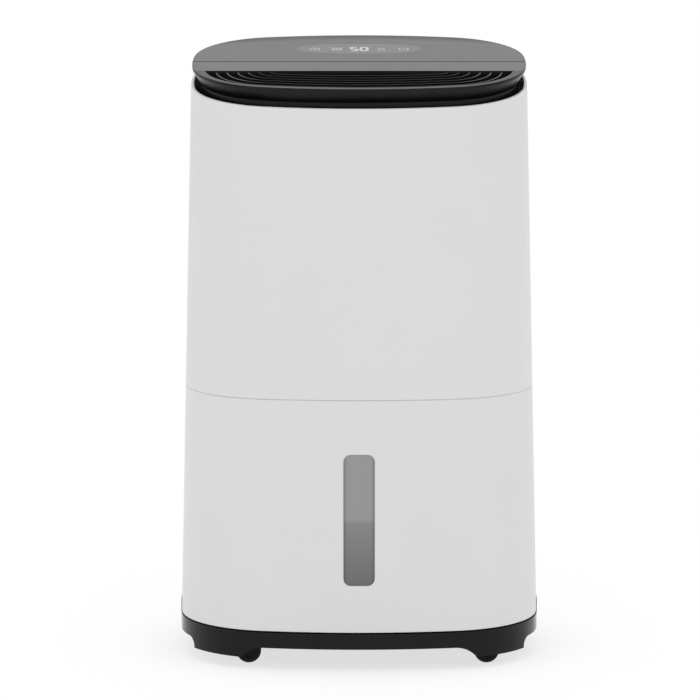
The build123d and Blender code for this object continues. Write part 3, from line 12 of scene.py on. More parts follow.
import bmesh
import bpy
import numpy as np
from bpy.types import Material, Mesh, Node, NodeSocket, Object
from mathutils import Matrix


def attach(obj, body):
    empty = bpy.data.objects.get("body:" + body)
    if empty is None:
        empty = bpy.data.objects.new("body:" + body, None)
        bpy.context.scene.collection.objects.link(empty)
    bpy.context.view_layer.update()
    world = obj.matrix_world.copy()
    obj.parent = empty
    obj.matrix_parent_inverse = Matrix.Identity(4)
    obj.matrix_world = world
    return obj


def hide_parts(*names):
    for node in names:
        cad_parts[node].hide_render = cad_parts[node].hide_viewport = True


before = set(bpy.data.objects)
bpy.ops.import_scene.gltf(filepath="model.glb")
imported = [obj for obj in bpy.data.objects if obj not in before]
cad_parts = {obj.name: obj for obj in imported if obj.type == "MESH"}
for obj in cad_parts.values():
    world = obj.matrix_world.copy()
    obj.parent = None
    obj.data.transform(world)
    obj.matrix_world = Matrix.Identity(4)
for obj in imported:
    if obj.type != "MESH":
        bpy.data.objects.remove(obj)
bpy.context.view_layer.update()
LOG = logging.getLogger("dehumidifier")
Colour = tuple[float, float, float]
Point = tuple[float, float, float]
Spot = tuple[float, float]
Span = tuple[float, float]

DECK_TILT = math.radians(8.35)
# Noise mostly lies between these two values
NOISE_SPAN: Span = (0.3, 0.7)
CLOUD_OCTAVES = 4.0
PATCH_OCTAVES = 3.0
GRAIN_OCTAVES = 2.0
# Radians that a band wave turns per metre at scale 1
WAVE_TURN = 20.0


def shaded(colour: Colour, factor: float) -> Colour:
    """Return a colour times a factor, with no channel over 1."""
    return tuple(min(1.0, channel * factor) for channel in colour)


def grey(level: float) -> Colour:
    """Return a grey of one level."""
    return (level, level, level)


class Tone(Enum):
    """Names of the finishes that the pieces wear."""

    SHELL = "white_shell"
    BASE = "black_base"
    PANEL = "charcoal_panel"
    DECK = "black_deck_charcoal_top"
    FINS = "black_fins"
    WINDOW = "smoke_window"
    TUB = "natural_tub"
    FOAM = "white_foam"
    FRAME = "grey_frame"
    FAN = "black_fan"
    ZINC = "zinc_plate"
    STEEL = "ground_steel"
    COIL = "finned_aluminium"
    ENAMEL = "black_enamel"
    RUBBER = "black_rubber"
    COPPER = "drawn_copper"
    BOARD = "green_board"
    FILTER = "dark_filter_frame"
    NET = "filter_net"
    FITTING = "black_fitting"
    PLUG = "soft_white_plug"
    TREAD = "castor_tread"
    KEYS = "touch_field"
    SIGNS = "touch_signs"
    DIGITS = "lit_digits"
    SEAM_SHADE = "dark_painted_seam_shade"
    BEAD = "white_seam_bead"
    GAP_SHADE = "matt_black_painted_gap_shade"
    FLOOR = "studio_floor"


class MixKind(Enum):
    """What a mix node mixes, with the numbers of its two inputs and of its result."""

    FLOAT = (2, 3, 0)
    RGBA = (6, 7, 2)


class NodeWeb:
    """A material's node tree with short calls to add and join nodes."""

    def __init__(self, name: str) -> None:
        """Start a material that has only its output, one shader and coordinates.

        Args:
            name: Name of the new material.
        """
        self.material = bpy.data.materials.new(name)
        self.material.use_nodes = True
        self.tree = self.material.node_tree
        self.tree.nodes.clear()
        self.output = self.add("ShaderNodeOutputMaterial")
        self.shader = self.add("ShaderNodeBsdfPrincipled")
        self.join(self.shader, "BSDF", self.output, "Surface")
        self.place = self.add("ShaderNodeTexCoord")

    def add(self, kind: str, **settings: object) -> Node:
        """Add a node.

        Args:
            kind: Type of the node.
            settings: Properties to set on it.

        Returns:
            The new node.
        """
        node = self.tree.nodes.new(kind)
        for key, value in settings.items():
            setattr(node, key, value)
        return node

    def join(self, source: Node, out: str, target: Node, into: str | int) -> None:
        """Link one node's output to another's input.

        Args:
            source: Node to read from.
            out: Name of its output.
            target: Node to feed.
            into: Name or number of its input.
        """
        self.tree.links.new(source.outputs[out], target.inputs[into])

    def feeding(self, socket: str) -> Node:
        """Return the node that feeds a socket of the shader."""
        return self.shader.inputs[socket].links[0].from_node

    def noise(self, scale: float, detail: float) -> Node:
        """Add noise on object coordinates.

        Args:
            scale: Waves per metre.
            detail: Octaves.

        Returns:
            The noise node.
        """
        node = self.add("ShaderNodeTexNoise")
        node.inputs["Scale"].default_value = scale
        node.inputs["Detail"].default_value = detail
        self.join(self.place, "Object", node, "Vector")
        return node

    def bands(self, axis: str, pitch: float, bend: float = 0.0) -> Node:
        """Add waves along one axis of the object.

        Args:
            axis: X, Y or Z.
            pitch: Length of one wave.
            bend: How far noise bends the waves.

        Returns:
            The wave node.
        """
        node = self.add("ShaderNodeTexWave", wave_type="BANDS", bands_direction=axis)
        node.inputs["Scale"].default_value = 2 * math.pi / pitch / WAVE_TURN
        node.inputs["Distortion"].default_value = bend
        self.join(self.place, "Object", node, "Vector")
        return node

    def split(self) -> Node:
        """Add a node that gives the object coordinates X, Y and Z.

        Returns:
            The splitting node.
        """
        node = self.add("ShaderNodeSeparateXYZ")
        self.join(self.place, "Object", node, "Vector")
        return node

    def aside(self, split: Node) -> Node:
        """Add the distance |x| from the middle of the body.

        Args:
            split: Node with the coordinates.

        Returns:
            The node with the distance.
        """
        node = self.add("ShaderNodeMath", operation="ABSOLUTE")
        self.join(split, "X", node, 0)
        return node

    def remap(
        self, source: Node, out: str, read: Span, give: Span = (0.0, 1.0), eased: bool = False
    ) -> Node:
        """Map a value from one range onto another and hold it at the ends.

        Args:
            source: Node to read.
            out: Name of its output.
            read: The two values that bound the range.
            give: Results at those values.
            eased: Whether the way between them starts and ends gently.

        Returns:
            The mapping node.
        """
        node = self.add("ShaderNodeMapRange")
        if eased:
            node.interpolation_type = "SMOOTHSTEP"
        names = ("From Min", "From Max", "To Min", "To Max")
        for name, value in zip(names, (*read, *give)):
            node.inputs[name].default_value = value
        self.join(source, out, node, "Value")
        return node

    def ramp(self, source: Node, out: str, stops: list[tuple[float, Colour]]) -> Node:
        """Colour a value by stops.

        Args:
            source: Node to read.
            out: Name of its output.
            stops: Places from 0 to 1 with their colours, in order.

        Returns:
            The ramp node.
        """
        node = self.add("ShaderNodeValToRGB")
        elements = node.color_ramp.elements
        while len(elements) < len(stops):
            elements.new(0.5)
        for element, (place, colour) in zip(elements, stops):
            element.position = place
            element.color = (*colour, 1.0)
        self.join(source, out, node, "Fac")
        return node

    def bump(self, source: Node, out: str, depth: float) -> None:
        """Press a height pattern into the surface.

        Args:
            source: Node with the height.
            out: Name of its output.
            depth: Height of the pattern in metres.
        """
        node = self.add("ShaderNodeBump")
        node.inputs["Distance"].default_value = depth
        node.inputs["Strength"].default_value = 1.0
        self.join(source, out, node, "Height")
        self.join(node, "Normal", self.shader, "Normal")

    def dim(self, colour: Node, shade: Node) -> None:
        """Multiply a colour by a shade and give it to the surface.

        Args:
            colour: Node with the colour.
            shade: Mapping node with the shade.
        """
        node = self.add("ShaderNodeVectorMath", operation="SCALE")
        self.join(colour, "Color", node, 0)
        self.join(shade, "Result", node, "Scale")
        self.join(node, "Vector", self.shader, "Base Color")

    def mix(self, kind: MixKind, share: Node, out: str, into: str) -> tuple[NodeSocket, ...]:
        """Mix two things by a share and give the result to the shader.

        Args:
            kind: What is mixed.
            share: Node with the second one's share.
            out: Name of its output.
            into: Socket of the shader that takes the result.

        Returns:
            The sockets for the first and for the second one.
        """
        node = self.add("ShaderNodeMix", data_type=kind.name)
        first, second, result = kind.value
        self.join(share, out, node, 0)
        self.tree.links.new(node.outputs[result], self.shader.inputs[into])
        return node.inputs[first], node.inputs[second]


@dataclass(frozen=True)
class Moulded:
    """Moulded plastic, rubber or paint: mottled colour, uneven gloss and a fine grain."""

    tone: Tone
    colour: Colour
    mottle: float = 0.03
    roughness: float = 0.42
    gloss_swing: float = 0.05
    ior: float = 1.45
    grain_scale: float = 2400.0
    grain_depth: float = 0.00002
    cloud_scale: float = 14.0
    patch_scale: float = 45.0

    def clouded(self, web: NodeWeb, colour: Colour, mottle: float) -> Node:
        """Mottle a colour by soft clouds.

        Args:
            web: Node web to add to.
            colour: Colour in the middle.
            mottle: Share by which it rises and falls.

        Returns:
            The node with the colour.
        """
        low, high = NOISE_SPAN
        stops = [(low, shaded(colour, 1 - mottle)), (high, shaded(colour, 1 + mottle))]
        return web.ramp(web.noise(self.cloud_scale, CLOUD_OCTAVES), "Fac", stops)

    def gloss(self, web: NodeWeb, pattern: Node) -> None:
        """Let the roughness rise and fall by a pattern.

        Args:
            web: Node web to add to.
            pattern: Node with the pattern.
        """
        swing = (self.roughness - self.gloss_swing, self.roughness + self.gloss_swing)
        web.join(web.remap(pattern, "Fac", NOISE_SPAN, swing), "Result", web.shader, "Roughness")

    def web(self) -> NodeWeb:
        """Build the nodes that all moulded finishes share.

        Returns:
            The node web, ready for more nodes.
        """
        web = NodeWeb(self.tone.value)
        tint = self.clouded(web, self.colour, self.mottle)
        web.join(tint, "Color", web.shader, "Base Color")
        self.gloss(web, web.noise(self.patch_scale, PATCH_OCTAVES))
        web.shader.inputs["IOR"].default_value = self.ior
        web.bump(web.noise(self.grain_scale, GRAIN_OCTAVES), "Fac", self.grain_depth)
        return web

    def build(self) -> Material:
        """Return the finished material."""
        return self.web().material


@dataclass(frozen=True)
class LevelMoulding(Moulded):
    """Moulding whose faces level with the deck differ from its sides."""

    level_span: Span = (0.93, 0.99)

    def level(self, web: NodeWeb) -> Node:
        """Tell the deck's level faces from the sides.

        The dot product of the face's normal and the deck's is read. The result is 0 up to the
        first value of level_span and 1 from the second, which is within about 8 degrees.

        Args:
            web: Node web to add to.

        Returns:
            The mapping node with the result.
        """
        facing = web.add("ShaderNodeVectorMath", operation="DOT_PRODUCT")
        facing.inputs[1].default_value = (0.0, -math.sin(DECK_TILT), math.cos(DECK_TILT))
        web.join(web.add("ShaderNodeNewGeometry"), "Normal", facing, 0)
        return web.remap(facing, "Value", self.level_span, eased=True)


@dataclass(frozen=True)
class FinMoulding(LevelMoulding):
    """Black fins with matt sides, their tops satin at the outlet's ends and duller between."""

    side_roughness: float = 0.95
    dull_half: float = 0.090
    satin_half: float = 0.115
    dull_share: float = 0.6

    def build(self) -> Material:
        """Mix the sides' roughness and the tops' by the level faces.

        The tops count in full where |x| is over satin_half, and by dull_share where it is
        under dull_half.

        Returns:
            The finished material.
        """
        web = self.web()
        satin = web.feeding("Roughness")
        halves = (self.dull_half, self.satin_half)
        share = web.remap(web.aside(web.split()), "Value", halves, (self.dull_share, 1.0))
        tops = self.level(web)
        web.join(share, "Result", tops, "To Max")
        on_side, on_top = web.mix(MixKind.FLOAT, tops, "Result", "Roughness")
        on_side.default_value = self.side_roughness
        web.tree.links.new(satin.outputs["Result"], on_top)
        return web.material


@dataclass(frozen=True)
class DeckMoulding(LevelMoulding):
    """Black moulding whose level strip is charcoal like the panel, with the light from above
    painted in.
    """

    top_colour: Colour = (0.082, 0.082, 0.083)
    top_mottle: float = 0.04
    strip_front: float = -0.0362

    def build(self) -> Material:
        """Paint the level faces behind the outlet charcoal, with the light from above painted in.

        Returns:
            The finished material.
        """
        web = self.web()
        black = web.feeding("Base Color")
        charcoal = self.clouded(web, self.top_colour, self.top_mottle)
        # Painted light: the level faces behind the outlet are lighter than the black sides
        behind = web.add("ShaderNodeMath", operation="GREATER_THAN")
        behind.inputs[1].default_value = self.strip_front
        web.join(web.split(), "Y", behind, 0)
        painted_top_light = web.add("ShaderNodeMath", operation="MULTIPLY")
        web.join(self.level(web), "Result", painted_top_light, 0)
        web.join(behind, "Value", painted_top_light, 1)
        bare, lit_top_faces = web.mix(MixKind.RGBA, painted_top_light, "Value", "Base Color")
        web.tree.links.new(black.outputs["Color"], bare)
        web.tree.links.new(charcoal.outputs["Color"], lit_top_faces)
        return web.material


@dataclass(frozen=True)
class RimmedPanel(Moulded):
    """Charcoal touch panel with painted shade that darkens it toward its rounded rim."""

    back_centre: Point = (0.0, -0.398, 0.0)
    back_radius: float = 0.5045
    back_rim: float = 0.024
    end_centre: Point = (-0.074, 0.0, 0.0)
    end_radius: float = 0.2335
    end_rim: float = 0.002
    dark_share: float = 0.2

    def build(self) -> Material:
        """Shade the panel by the distance to its rim.

        The distance is radius - |p - centre|, with x taken as |x| and z as 0. As a share of
        the rim's width it is worked out for the back's arc and for the end's. The smaller one
        sets the painted shade of the rounded rim, which is black up to dark_share.

        Returns:
            The finished material.
        """
        web = self.web()
        split = web.split()
        flat = web.add("ShaderNodeCombineXYZ")
        web.join(web.aside(split), "Value", flat, "X")
        web.join(split, "Y", flat, "Y")
        least = web.add("ShaderNodeMath", operation="MINIMUM")
        back = (self.back_centre, self.back_radius, self.back_rim)
        end = (self.end_centre, self.end_radius, self.end_rim)
        for number, (centre, radius, rim) in enumerate((back, end)):
            span = web.add("ShaderNodeVectorMath", operation="DISTANCE")
            span.inputs[1].default_value = centre
            web.join(flat, "Vector", span, 0)
            web.join(web.remap(span, "Value", (radius, radius - rim)), "Result", least, number)
        # Painted shade: the colour darkens toward the rounded rim
        shade = web.remap(least, "Value", (self.dark_share, 1.0), eased=True)
        web.dim(web.feeding("Base Color"), shade)
        return web.material


@dataclass(frozen=True)
class SmokeWindow(Moulded):
    """Smoke-grey window, darker where water stands behind it and along its sides."""

    bottom: float = 0.0835
    top: float = 0.2095
    water: float = 0.1456
    line_blur: float = 0.022
    line_level: float = 0.219
    deep_level: float = 0.128
    half_width: float = 0.01485
    edge_start: float = 0.72
    edge_shade: float = 0.7

    def build(self) -> Material:
        """Colour the window by a ramp over its height, shaded along both sides.

        The water line is blurred by line_blur of the height to each side. The shade sets in
        at edge_start of the half width.

        Returns:
            The finished material.
        """
        web = self.web()
        split = web.split()
        height = web.remap(split, "Z", (self.bottom, self.top))
        line = (self.water - self.bottom) / (self.top - self.bottom)
        stops = [
            (0.0, grey(self.deep_level)),
            (line - self.line_blur, grey(self.line_level)),
            (line + self.line_blur, self.colour),
            (1.0, self.colour),
        ]
        edge = (self.edge_start * self.half_width, self.half_width)
        shade = web.remap(web.aside(split), "Value", edge, (1.0, self.edge_shade), eased=True)
        web.dim(web.ramp(height, "Result", stops), shade)
        return web.material


@dataclass(frozen=True)
class Metal(Moulded):
    """Bare metal with fine streaks drawn along one axis."""

    streak: Point = (60.0, 60.0, 900.0)

    def build(self) -> Material:
        """Make the surface metallic, its gloss drawn out in streaks.

        Returns:
            The finished material.
        """
        web = self.web()
        web.shader.inputs["Metallic"].default_value = 1.0
        lines = web.noise(1.0, PATCH_OCTAVES)
        stretch = web.add("ShaderNodeMapping")
        stretch.inputs["Scale"].default_value = self.streak
        web.join(web.place, "Object", stretch, "Vector")
        web.join(stretch, "Vector", lines, "Vector")
        self.gloss(web, lines)
        return web.material


@dataclass(frozen=True)
class Waved(Moulded):
    """Close fins or threads drawn as waves over dark gaps."""

    patch_scale: float = 60.0
    pitch: float = 0.0018
    gap_shade: float = 0.25
    crest_span: Span = (0.1, 0.6)
    crest_depth: float = 0.0006

    def cover(self, web: NodeWeb, waves: Node, out: str) -> Material:
        """Colour the surface by the waves and press them into it.

        Args:
            web: Node web to add to.
            waves: Node with the waves, 1 on a crest and 0 in a gap.
            out: Name of its output.

        Returns:
            The finished material.
        """
        web.shader.inputs["IOR"].default_value = self.ior
        gap, crest = self.crest_span
        stops = [(gap, shaded(self.colour, self.gap_shade)), (crest, self.colour)]
        web.join(web.ramp(waves, out, stops), "Color", web.shader, "Base Color")
        self.gloss(web, web.noise(self.patch_scale, PATCH_OCTAVES))
        web.bump(waves, out, self.crest_depth)
        return web.material


@dataclass(frozen=True)
class Finned(Waved):
    """Aluminium coil: close upright fins, a little bent."""

    bend: float = 0.3

    def build(self) -> Material:
        """Draw one wave along the width for each fin.

        Returns:
            The finished material.
        """
        web = NodeWeb(self.tone.value)
        web.shader.inputs["Metallic"].default_value = 1.0
        return self.cover(web, web.bands("X", self.pitch, self.bend), "Fac")


@dataclass(frozen=True)
class Net(Waved):
    """Dust net: crossing threads."""

    patch_scale: float = 90.0
    pitch: float = 0.0014
    gap_shade: float = 0.12
    crest_span: Span = (0.45, 0.8)
    crest_depth: float = 0.0003

    def build(self) -> Material:
        """Take the larger of two crossing waves as the thread.

        Returns:
            The finished material.
        """
        web = NodeWeb(self.tone.value)
        cross = web.add("ShaderNodeMath", operation="MAXIMUM")
        for number, axis in enumerate("XZ"):
            web.join(web.bands(axis, self.pitch), "Fac", cross, number)
        return self.cover(web, cross, "Value")


@dataclass(frozen=True)
class Lit(Moulded):
    """Signs and digits lit from behind the panel."""

    glow: float = 0.6

    def build(self) -> Material:
        """Add an even glow of the sign's colour.

        Returns:
            The finished material.
        """
        web = self.web()
        web.shader.inputs["Emission Color"].default_value = (*self.colour, 1.0)
        web.shader.inputs["Emission Strength"].default_value = self.glow
        return web.material


# After tone and colour: mottle, roughness, its swing, refraction, then the grain's scale and depth
FINISHES: tuple[Moulded, ...] = (
    Moulded(Tone.SHELL, grey(0.70), 0.008, 0.40, 0.03, 1.50),
    Moulded(Tone.BASE, (0.0010, 0.0010, 0.0011), 0.06, 0.12, 0.015, 1.31),
    RimmedPanel(Tone.PANEL, (0.083, 0.083, 0.084), 0.012, 0.30, 0.012, 1.30),
    DeckMoulding(Tone.DECK, (0.003, 0.003, 0.0031), 0.05, 0.30, 0.015, 1.30),
    FinMoulding(Tone.FINS, (0.0010, 0.0010, 0.0011), 0.06, 0.30, 0.03, 1.27),
    SmokeWindow(Tone.WINDOW, grey(0.284), 0.01, 0.30, 0.02, 1.45),
    Moulded(Tone.TUB, (0.42, 0.44, 0.46), 0.03, 0.35, 0.05, 1.50),
    Moulded(Tone.FOAM, (0.62, 0.62, 0.61), 0.05, 0.75, 0.05, 1.40, 900.0, 0.0002),
    Moulded(Tone.FRAME, (0.075, 0.075, 0.078), 0.05, 0.50, 0.05, 1.45),
    Moulded(Tone.FAN, (0.010, 0.010, 0.011), 0.06, 0.42, 0.05, 1.45),
    Metal(Tone.ZINC, (0.52, 0.53, 0.55), 0.06, 0.34, 0.08, 1.45),
    Metal(Tone.STEEL, (0.58, 0.58, 0.59), 0.04, 0.26, 0.06, 1.45, streak=(900.0, 40.0, 900.0)),
    Finned(Tone.COIL, (0.68, 0.69, 0.70), roughness=0.365, gloss_swing=0.085),
    Moulded(Tone.ENAMEL, (0.008, 0.008, 0.009), 0.08, 0.28, 0.06, 1.50, 700.0, 0.00004),
    Moulded(Tone.RUBBER, grey(0.010), 0.10, 0.70, 0.06, 1.45, 1600.0, 0.00006),
    Metal(Tone.COPPER, (0.55, 0.23, 0.12), 0.12, 0.30, 0.08, 1.45),
    Moulded(Tone.BOARD, (0.012, 0.075, 0.035), 0.12, 0.36, 0.06, 1.50),
    Moulded(Tone.FILTER, (0.018, 0.018, 0.019), 0.06, 0.50, 0.05, 1.45),
    Net(Tone.NET, (0.035, 0.035, 0.037), roughness=0.675, gloss_swing=0.075),
    Moulded(Tone.FITTING, grey(0.012), 0.06, 0.42, 0.05, 1.45),
    Moulded(Tone.PLUG, (0.58, 0.58, 0.57), 0.03, 0.60, 0.05, 1.42),
    # Castor tread: black rubber, made darker still as painted shade under the base
    Moulded(Tone.TREAD, grey(0.002), 0.10, 0.45, 0.06, 1.27, 1800.0, 0.00005),
    Moulded(Tone.KEYS, (0.136, 0.136, 0.137), 0.012, 0.30, 0.012, 1.30),
    Lit(Tone.SIGNS, grey(0.30), 0.03, 0.40, 0.03, 1.50),
    Lit(Tone.DIGITS, grey(0.48), 0.02, 0.40, 0.03, 1.50, glow=0.25),
    # Painted shade of the seam between the panel and the strip
    Moulded(Tone.SEAM_SHADE, grey(0.006), 0.06, 0.60, 0.04, 1.30),
    Moulded(Tone.BEAD, grey(0.72), 0.008, 0.45, 0.03, 1.45),
    # Painted shade of the gap between the tank and the base
    Moulded(Tone.GAP_SHADE, (0.0010, 0.0010, 0.0011), 0.10, 0.85, 0.05, 1.12),
)


@dataclass
class Wardrobe:
    """All finishes by tone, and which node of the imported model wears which."""

    materials: dict[Tone, Material] = field(default_factory=dict)
    corners: tuple[str, ...] = ("front_left", "front_right", "rear_left", "rear_right")
    wears: dict[Tone, tuple[str, ...]] = field(default_factory=lambda: {
        Tone.SHELL: ("tank_front", "rear_cover", "front_cover", "inlet_grille"),
        Tone.BASE: ("base_tray",),
        Tone.PANEL: ("control_panel",),
        Tone.DECK: ("top_cover",),
        Tone.FINS: ("outlet_grille",),
        Tone.WINDOW: ("level_window",),
        Tone.TUB: ("tank_tub", "tank_lid", "tank_handle"),
        Tone.FOAM: ("tank_float",),
        Tone.FRAME: (
            "bulkhead", "mid_deck", "fan_plate", "fan_scroll", "drip_tray", "control_box",
        ),
        Tone.FAN: ("blower_wheel",),
        Tone.ZINC: (
            "fan_motor", "motor_screws", "compressor_studs", "cover_screws", "run_capacitor",
        ),
        Tone.STEEL: ("motor_shaft",),
        Tone.COIL: ("evaporator", "condenser"),
        Tone.ENAMEL: ("compressor", "accumulator"),
        Tone.RUBBER: ("compressor_grommets", "level_sensor", "humidity_sensor"),
        Tone.COPPER: ("suction_pipe", "discharge_pipe", "liquid_line"),
        Tone.BOARD: ("main_board", "display_board"),
        Tone.FILTER: ("filter_frame",),
        Tone.NET: ("filter_mesh",),
        Tone.FITTING: ("drain_outlet", "cord_gland"),
        Tone.PLUG: ("drain_plug",),
    })

    def make(self) -> None:
        """Build every finish once."""
        for finish in FINISHES:
            self.materials[finish.tone] = finish.build()

    def dress(self, thing: Object, tone: Tone) -> None:
        """Put one finish on an object.

        Args:
            thing: Object to dress.
            tone: Finish to wear.
        """
        if not thing.material_slots:
            thing.data.materials.append(None)
        for slot in thing.material_slots:
            slot.material = self.materials[tone]

    def dress_nodes(self) -> None:
        """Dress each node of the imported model, the four castors last."""
        castors = {
            Tone.FITTING: tuple(f"castor_fork_{corner}" for corner in self.corners),
            Tone.TREAD: tuple(f"castor_wheels_{corner}" for corner in self.corners),
            Tone.RUBBER: tuple(f"castor_axle_{corner}" for corner in self.corners),
        }
        for outfit in (self.wears, castors):
            for tone, nodes in outfit.items():
                for node in nodes:
                    self.dress(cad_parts[node], tone)
                    LOG.info("%s wears %s", node, tone.value)


@dataclass
class Sheets:
    """Several gridded surfaces that become one mesh."""

    name: str
    smooth: bool = True
    points: list[np.ndarray] = field(default_factory=list)
    faces: list[np.ndarray] = field(default_factory=list)
    count: int = 0
    merge: float = 1e-6

    def add(self, grid: np.ndarray, wrap_u: bool = False, wrap_v: bool = False) -> None:
        """Add a grid of points as a surface of four-sided faces.

        Face (i, j) joins points (i, j), (i+1, j), (i+1, j+1) and (i, j+1), where the
        numbers start again at a wrapped side.

        Args:
            grid: Array of shape (rows, columns, 3).
            wrap_u: Whether the last row joins the first.
            wrap_v: Whether the last column joins the first.
        """
        rows, columns = grid.shape[:2]
        number = np.arange(rows * columns).reshape(rows, columns)
        if wrap_u:
            number = np.vstack([number, number[:1]])
        if wrap_v:
            number = np.hstack([number, number[:, :1]])
        corners = (number[:-1, :-1], number[1:, :-1], number[1:, 1:], number[:-1, 1:])
        self.faces.append(np.stack(corners, axis=-1).reshape(-1, 4) + self.count)
        self.points.append(grid.reshape(-1, 3))
        self.count += rows * columns

    def mesh(self) -> Mesh:
        """Make the mesh and merge the points that meet at poles and ends of paths.

        Returns:
            The mesh.
        """
        points = np.concatenate(self.points).astype(np.float32)
        faces = np.concatenate(self.faces).astype(np.int32)
        mesh = bpy.data.meshes.new(self.name)
        mesh.vertices.add(len(points))
        mesh.vertices.foreach_set("co", points.ravel())
        mesh.loops.add(faces.size)
        mesh.loops.foreach_set("vertex_index", faces.ravel())
        mesh.polygons.add(len(faces))
        first = np.arange(0, faces.size, faces.shape[1], dtype=np.int32)
        mesh.polygons.foreach_set("loop_start", first)
        mesh.polygons.foreach_set("use_smooth", np.full(len(faces), self.smooth))
        mesh.update(calc_edges=True)
        work = bmesh.new()
        work.from_mesh(mesh)
        bmesh.ops.remove_doubles(work, verts=work.verts, dist=self.merge)
        work.to_mesh(mesh)
        work.free()
        return mesh

    def place(self) -> Object:
        """Make the mesh and put its object into the scene.

        Returns:
            The new object.
        """
        thing = bpy.data.objects.new(self.name, self.mesh())
        bpy.context.scene.collection.objects.link(thing)
        return thing

    def build(self, body: str, slot: str) -> Object:
        """Make the piece and hang it on a body.

        Args:
            body: Body that the piece moves with.
            slot: Material slot of the record; not used.

        Returns:
            The new object.
        """
        thing = self.place()
        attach(thing, body)
        LOG.info("%s: %d faces on %s", self.name, len(thing.data.polygons), body)
        return thing


@dataclass(frozen=True)
class Deck:
    """The sloped top of the body."""

    height: float = 0.5705

    def lay(self, plan: np.ndarray, lift: np.ndarray) -> np.ndarray:
        """Lay plan points on the deck.

        A point (x, y) goes to z = height + y tan(tilt), and then lift along the
        deck's normal (0, -sin(tilt), cos(tilt)).

        Args:
            plan: Array of shape (..., 2).
            lift: Distances above the deck, of a shape that spreads over the points.

        Returns:
            Array of shape (..., 3).
        """
        lift = np.broadcast_to(lift, plan.shape[:-1])
        x, y = plan[..., 0], plan[..., 1]
        z = self.height + y * math.tan(DECK_TILT)
        lifted = (x, y - lift * math.sin(DECK_TILT), z + lift * math.cos(DECK_TILT))
        return np.stack(lifted, axis=-1)


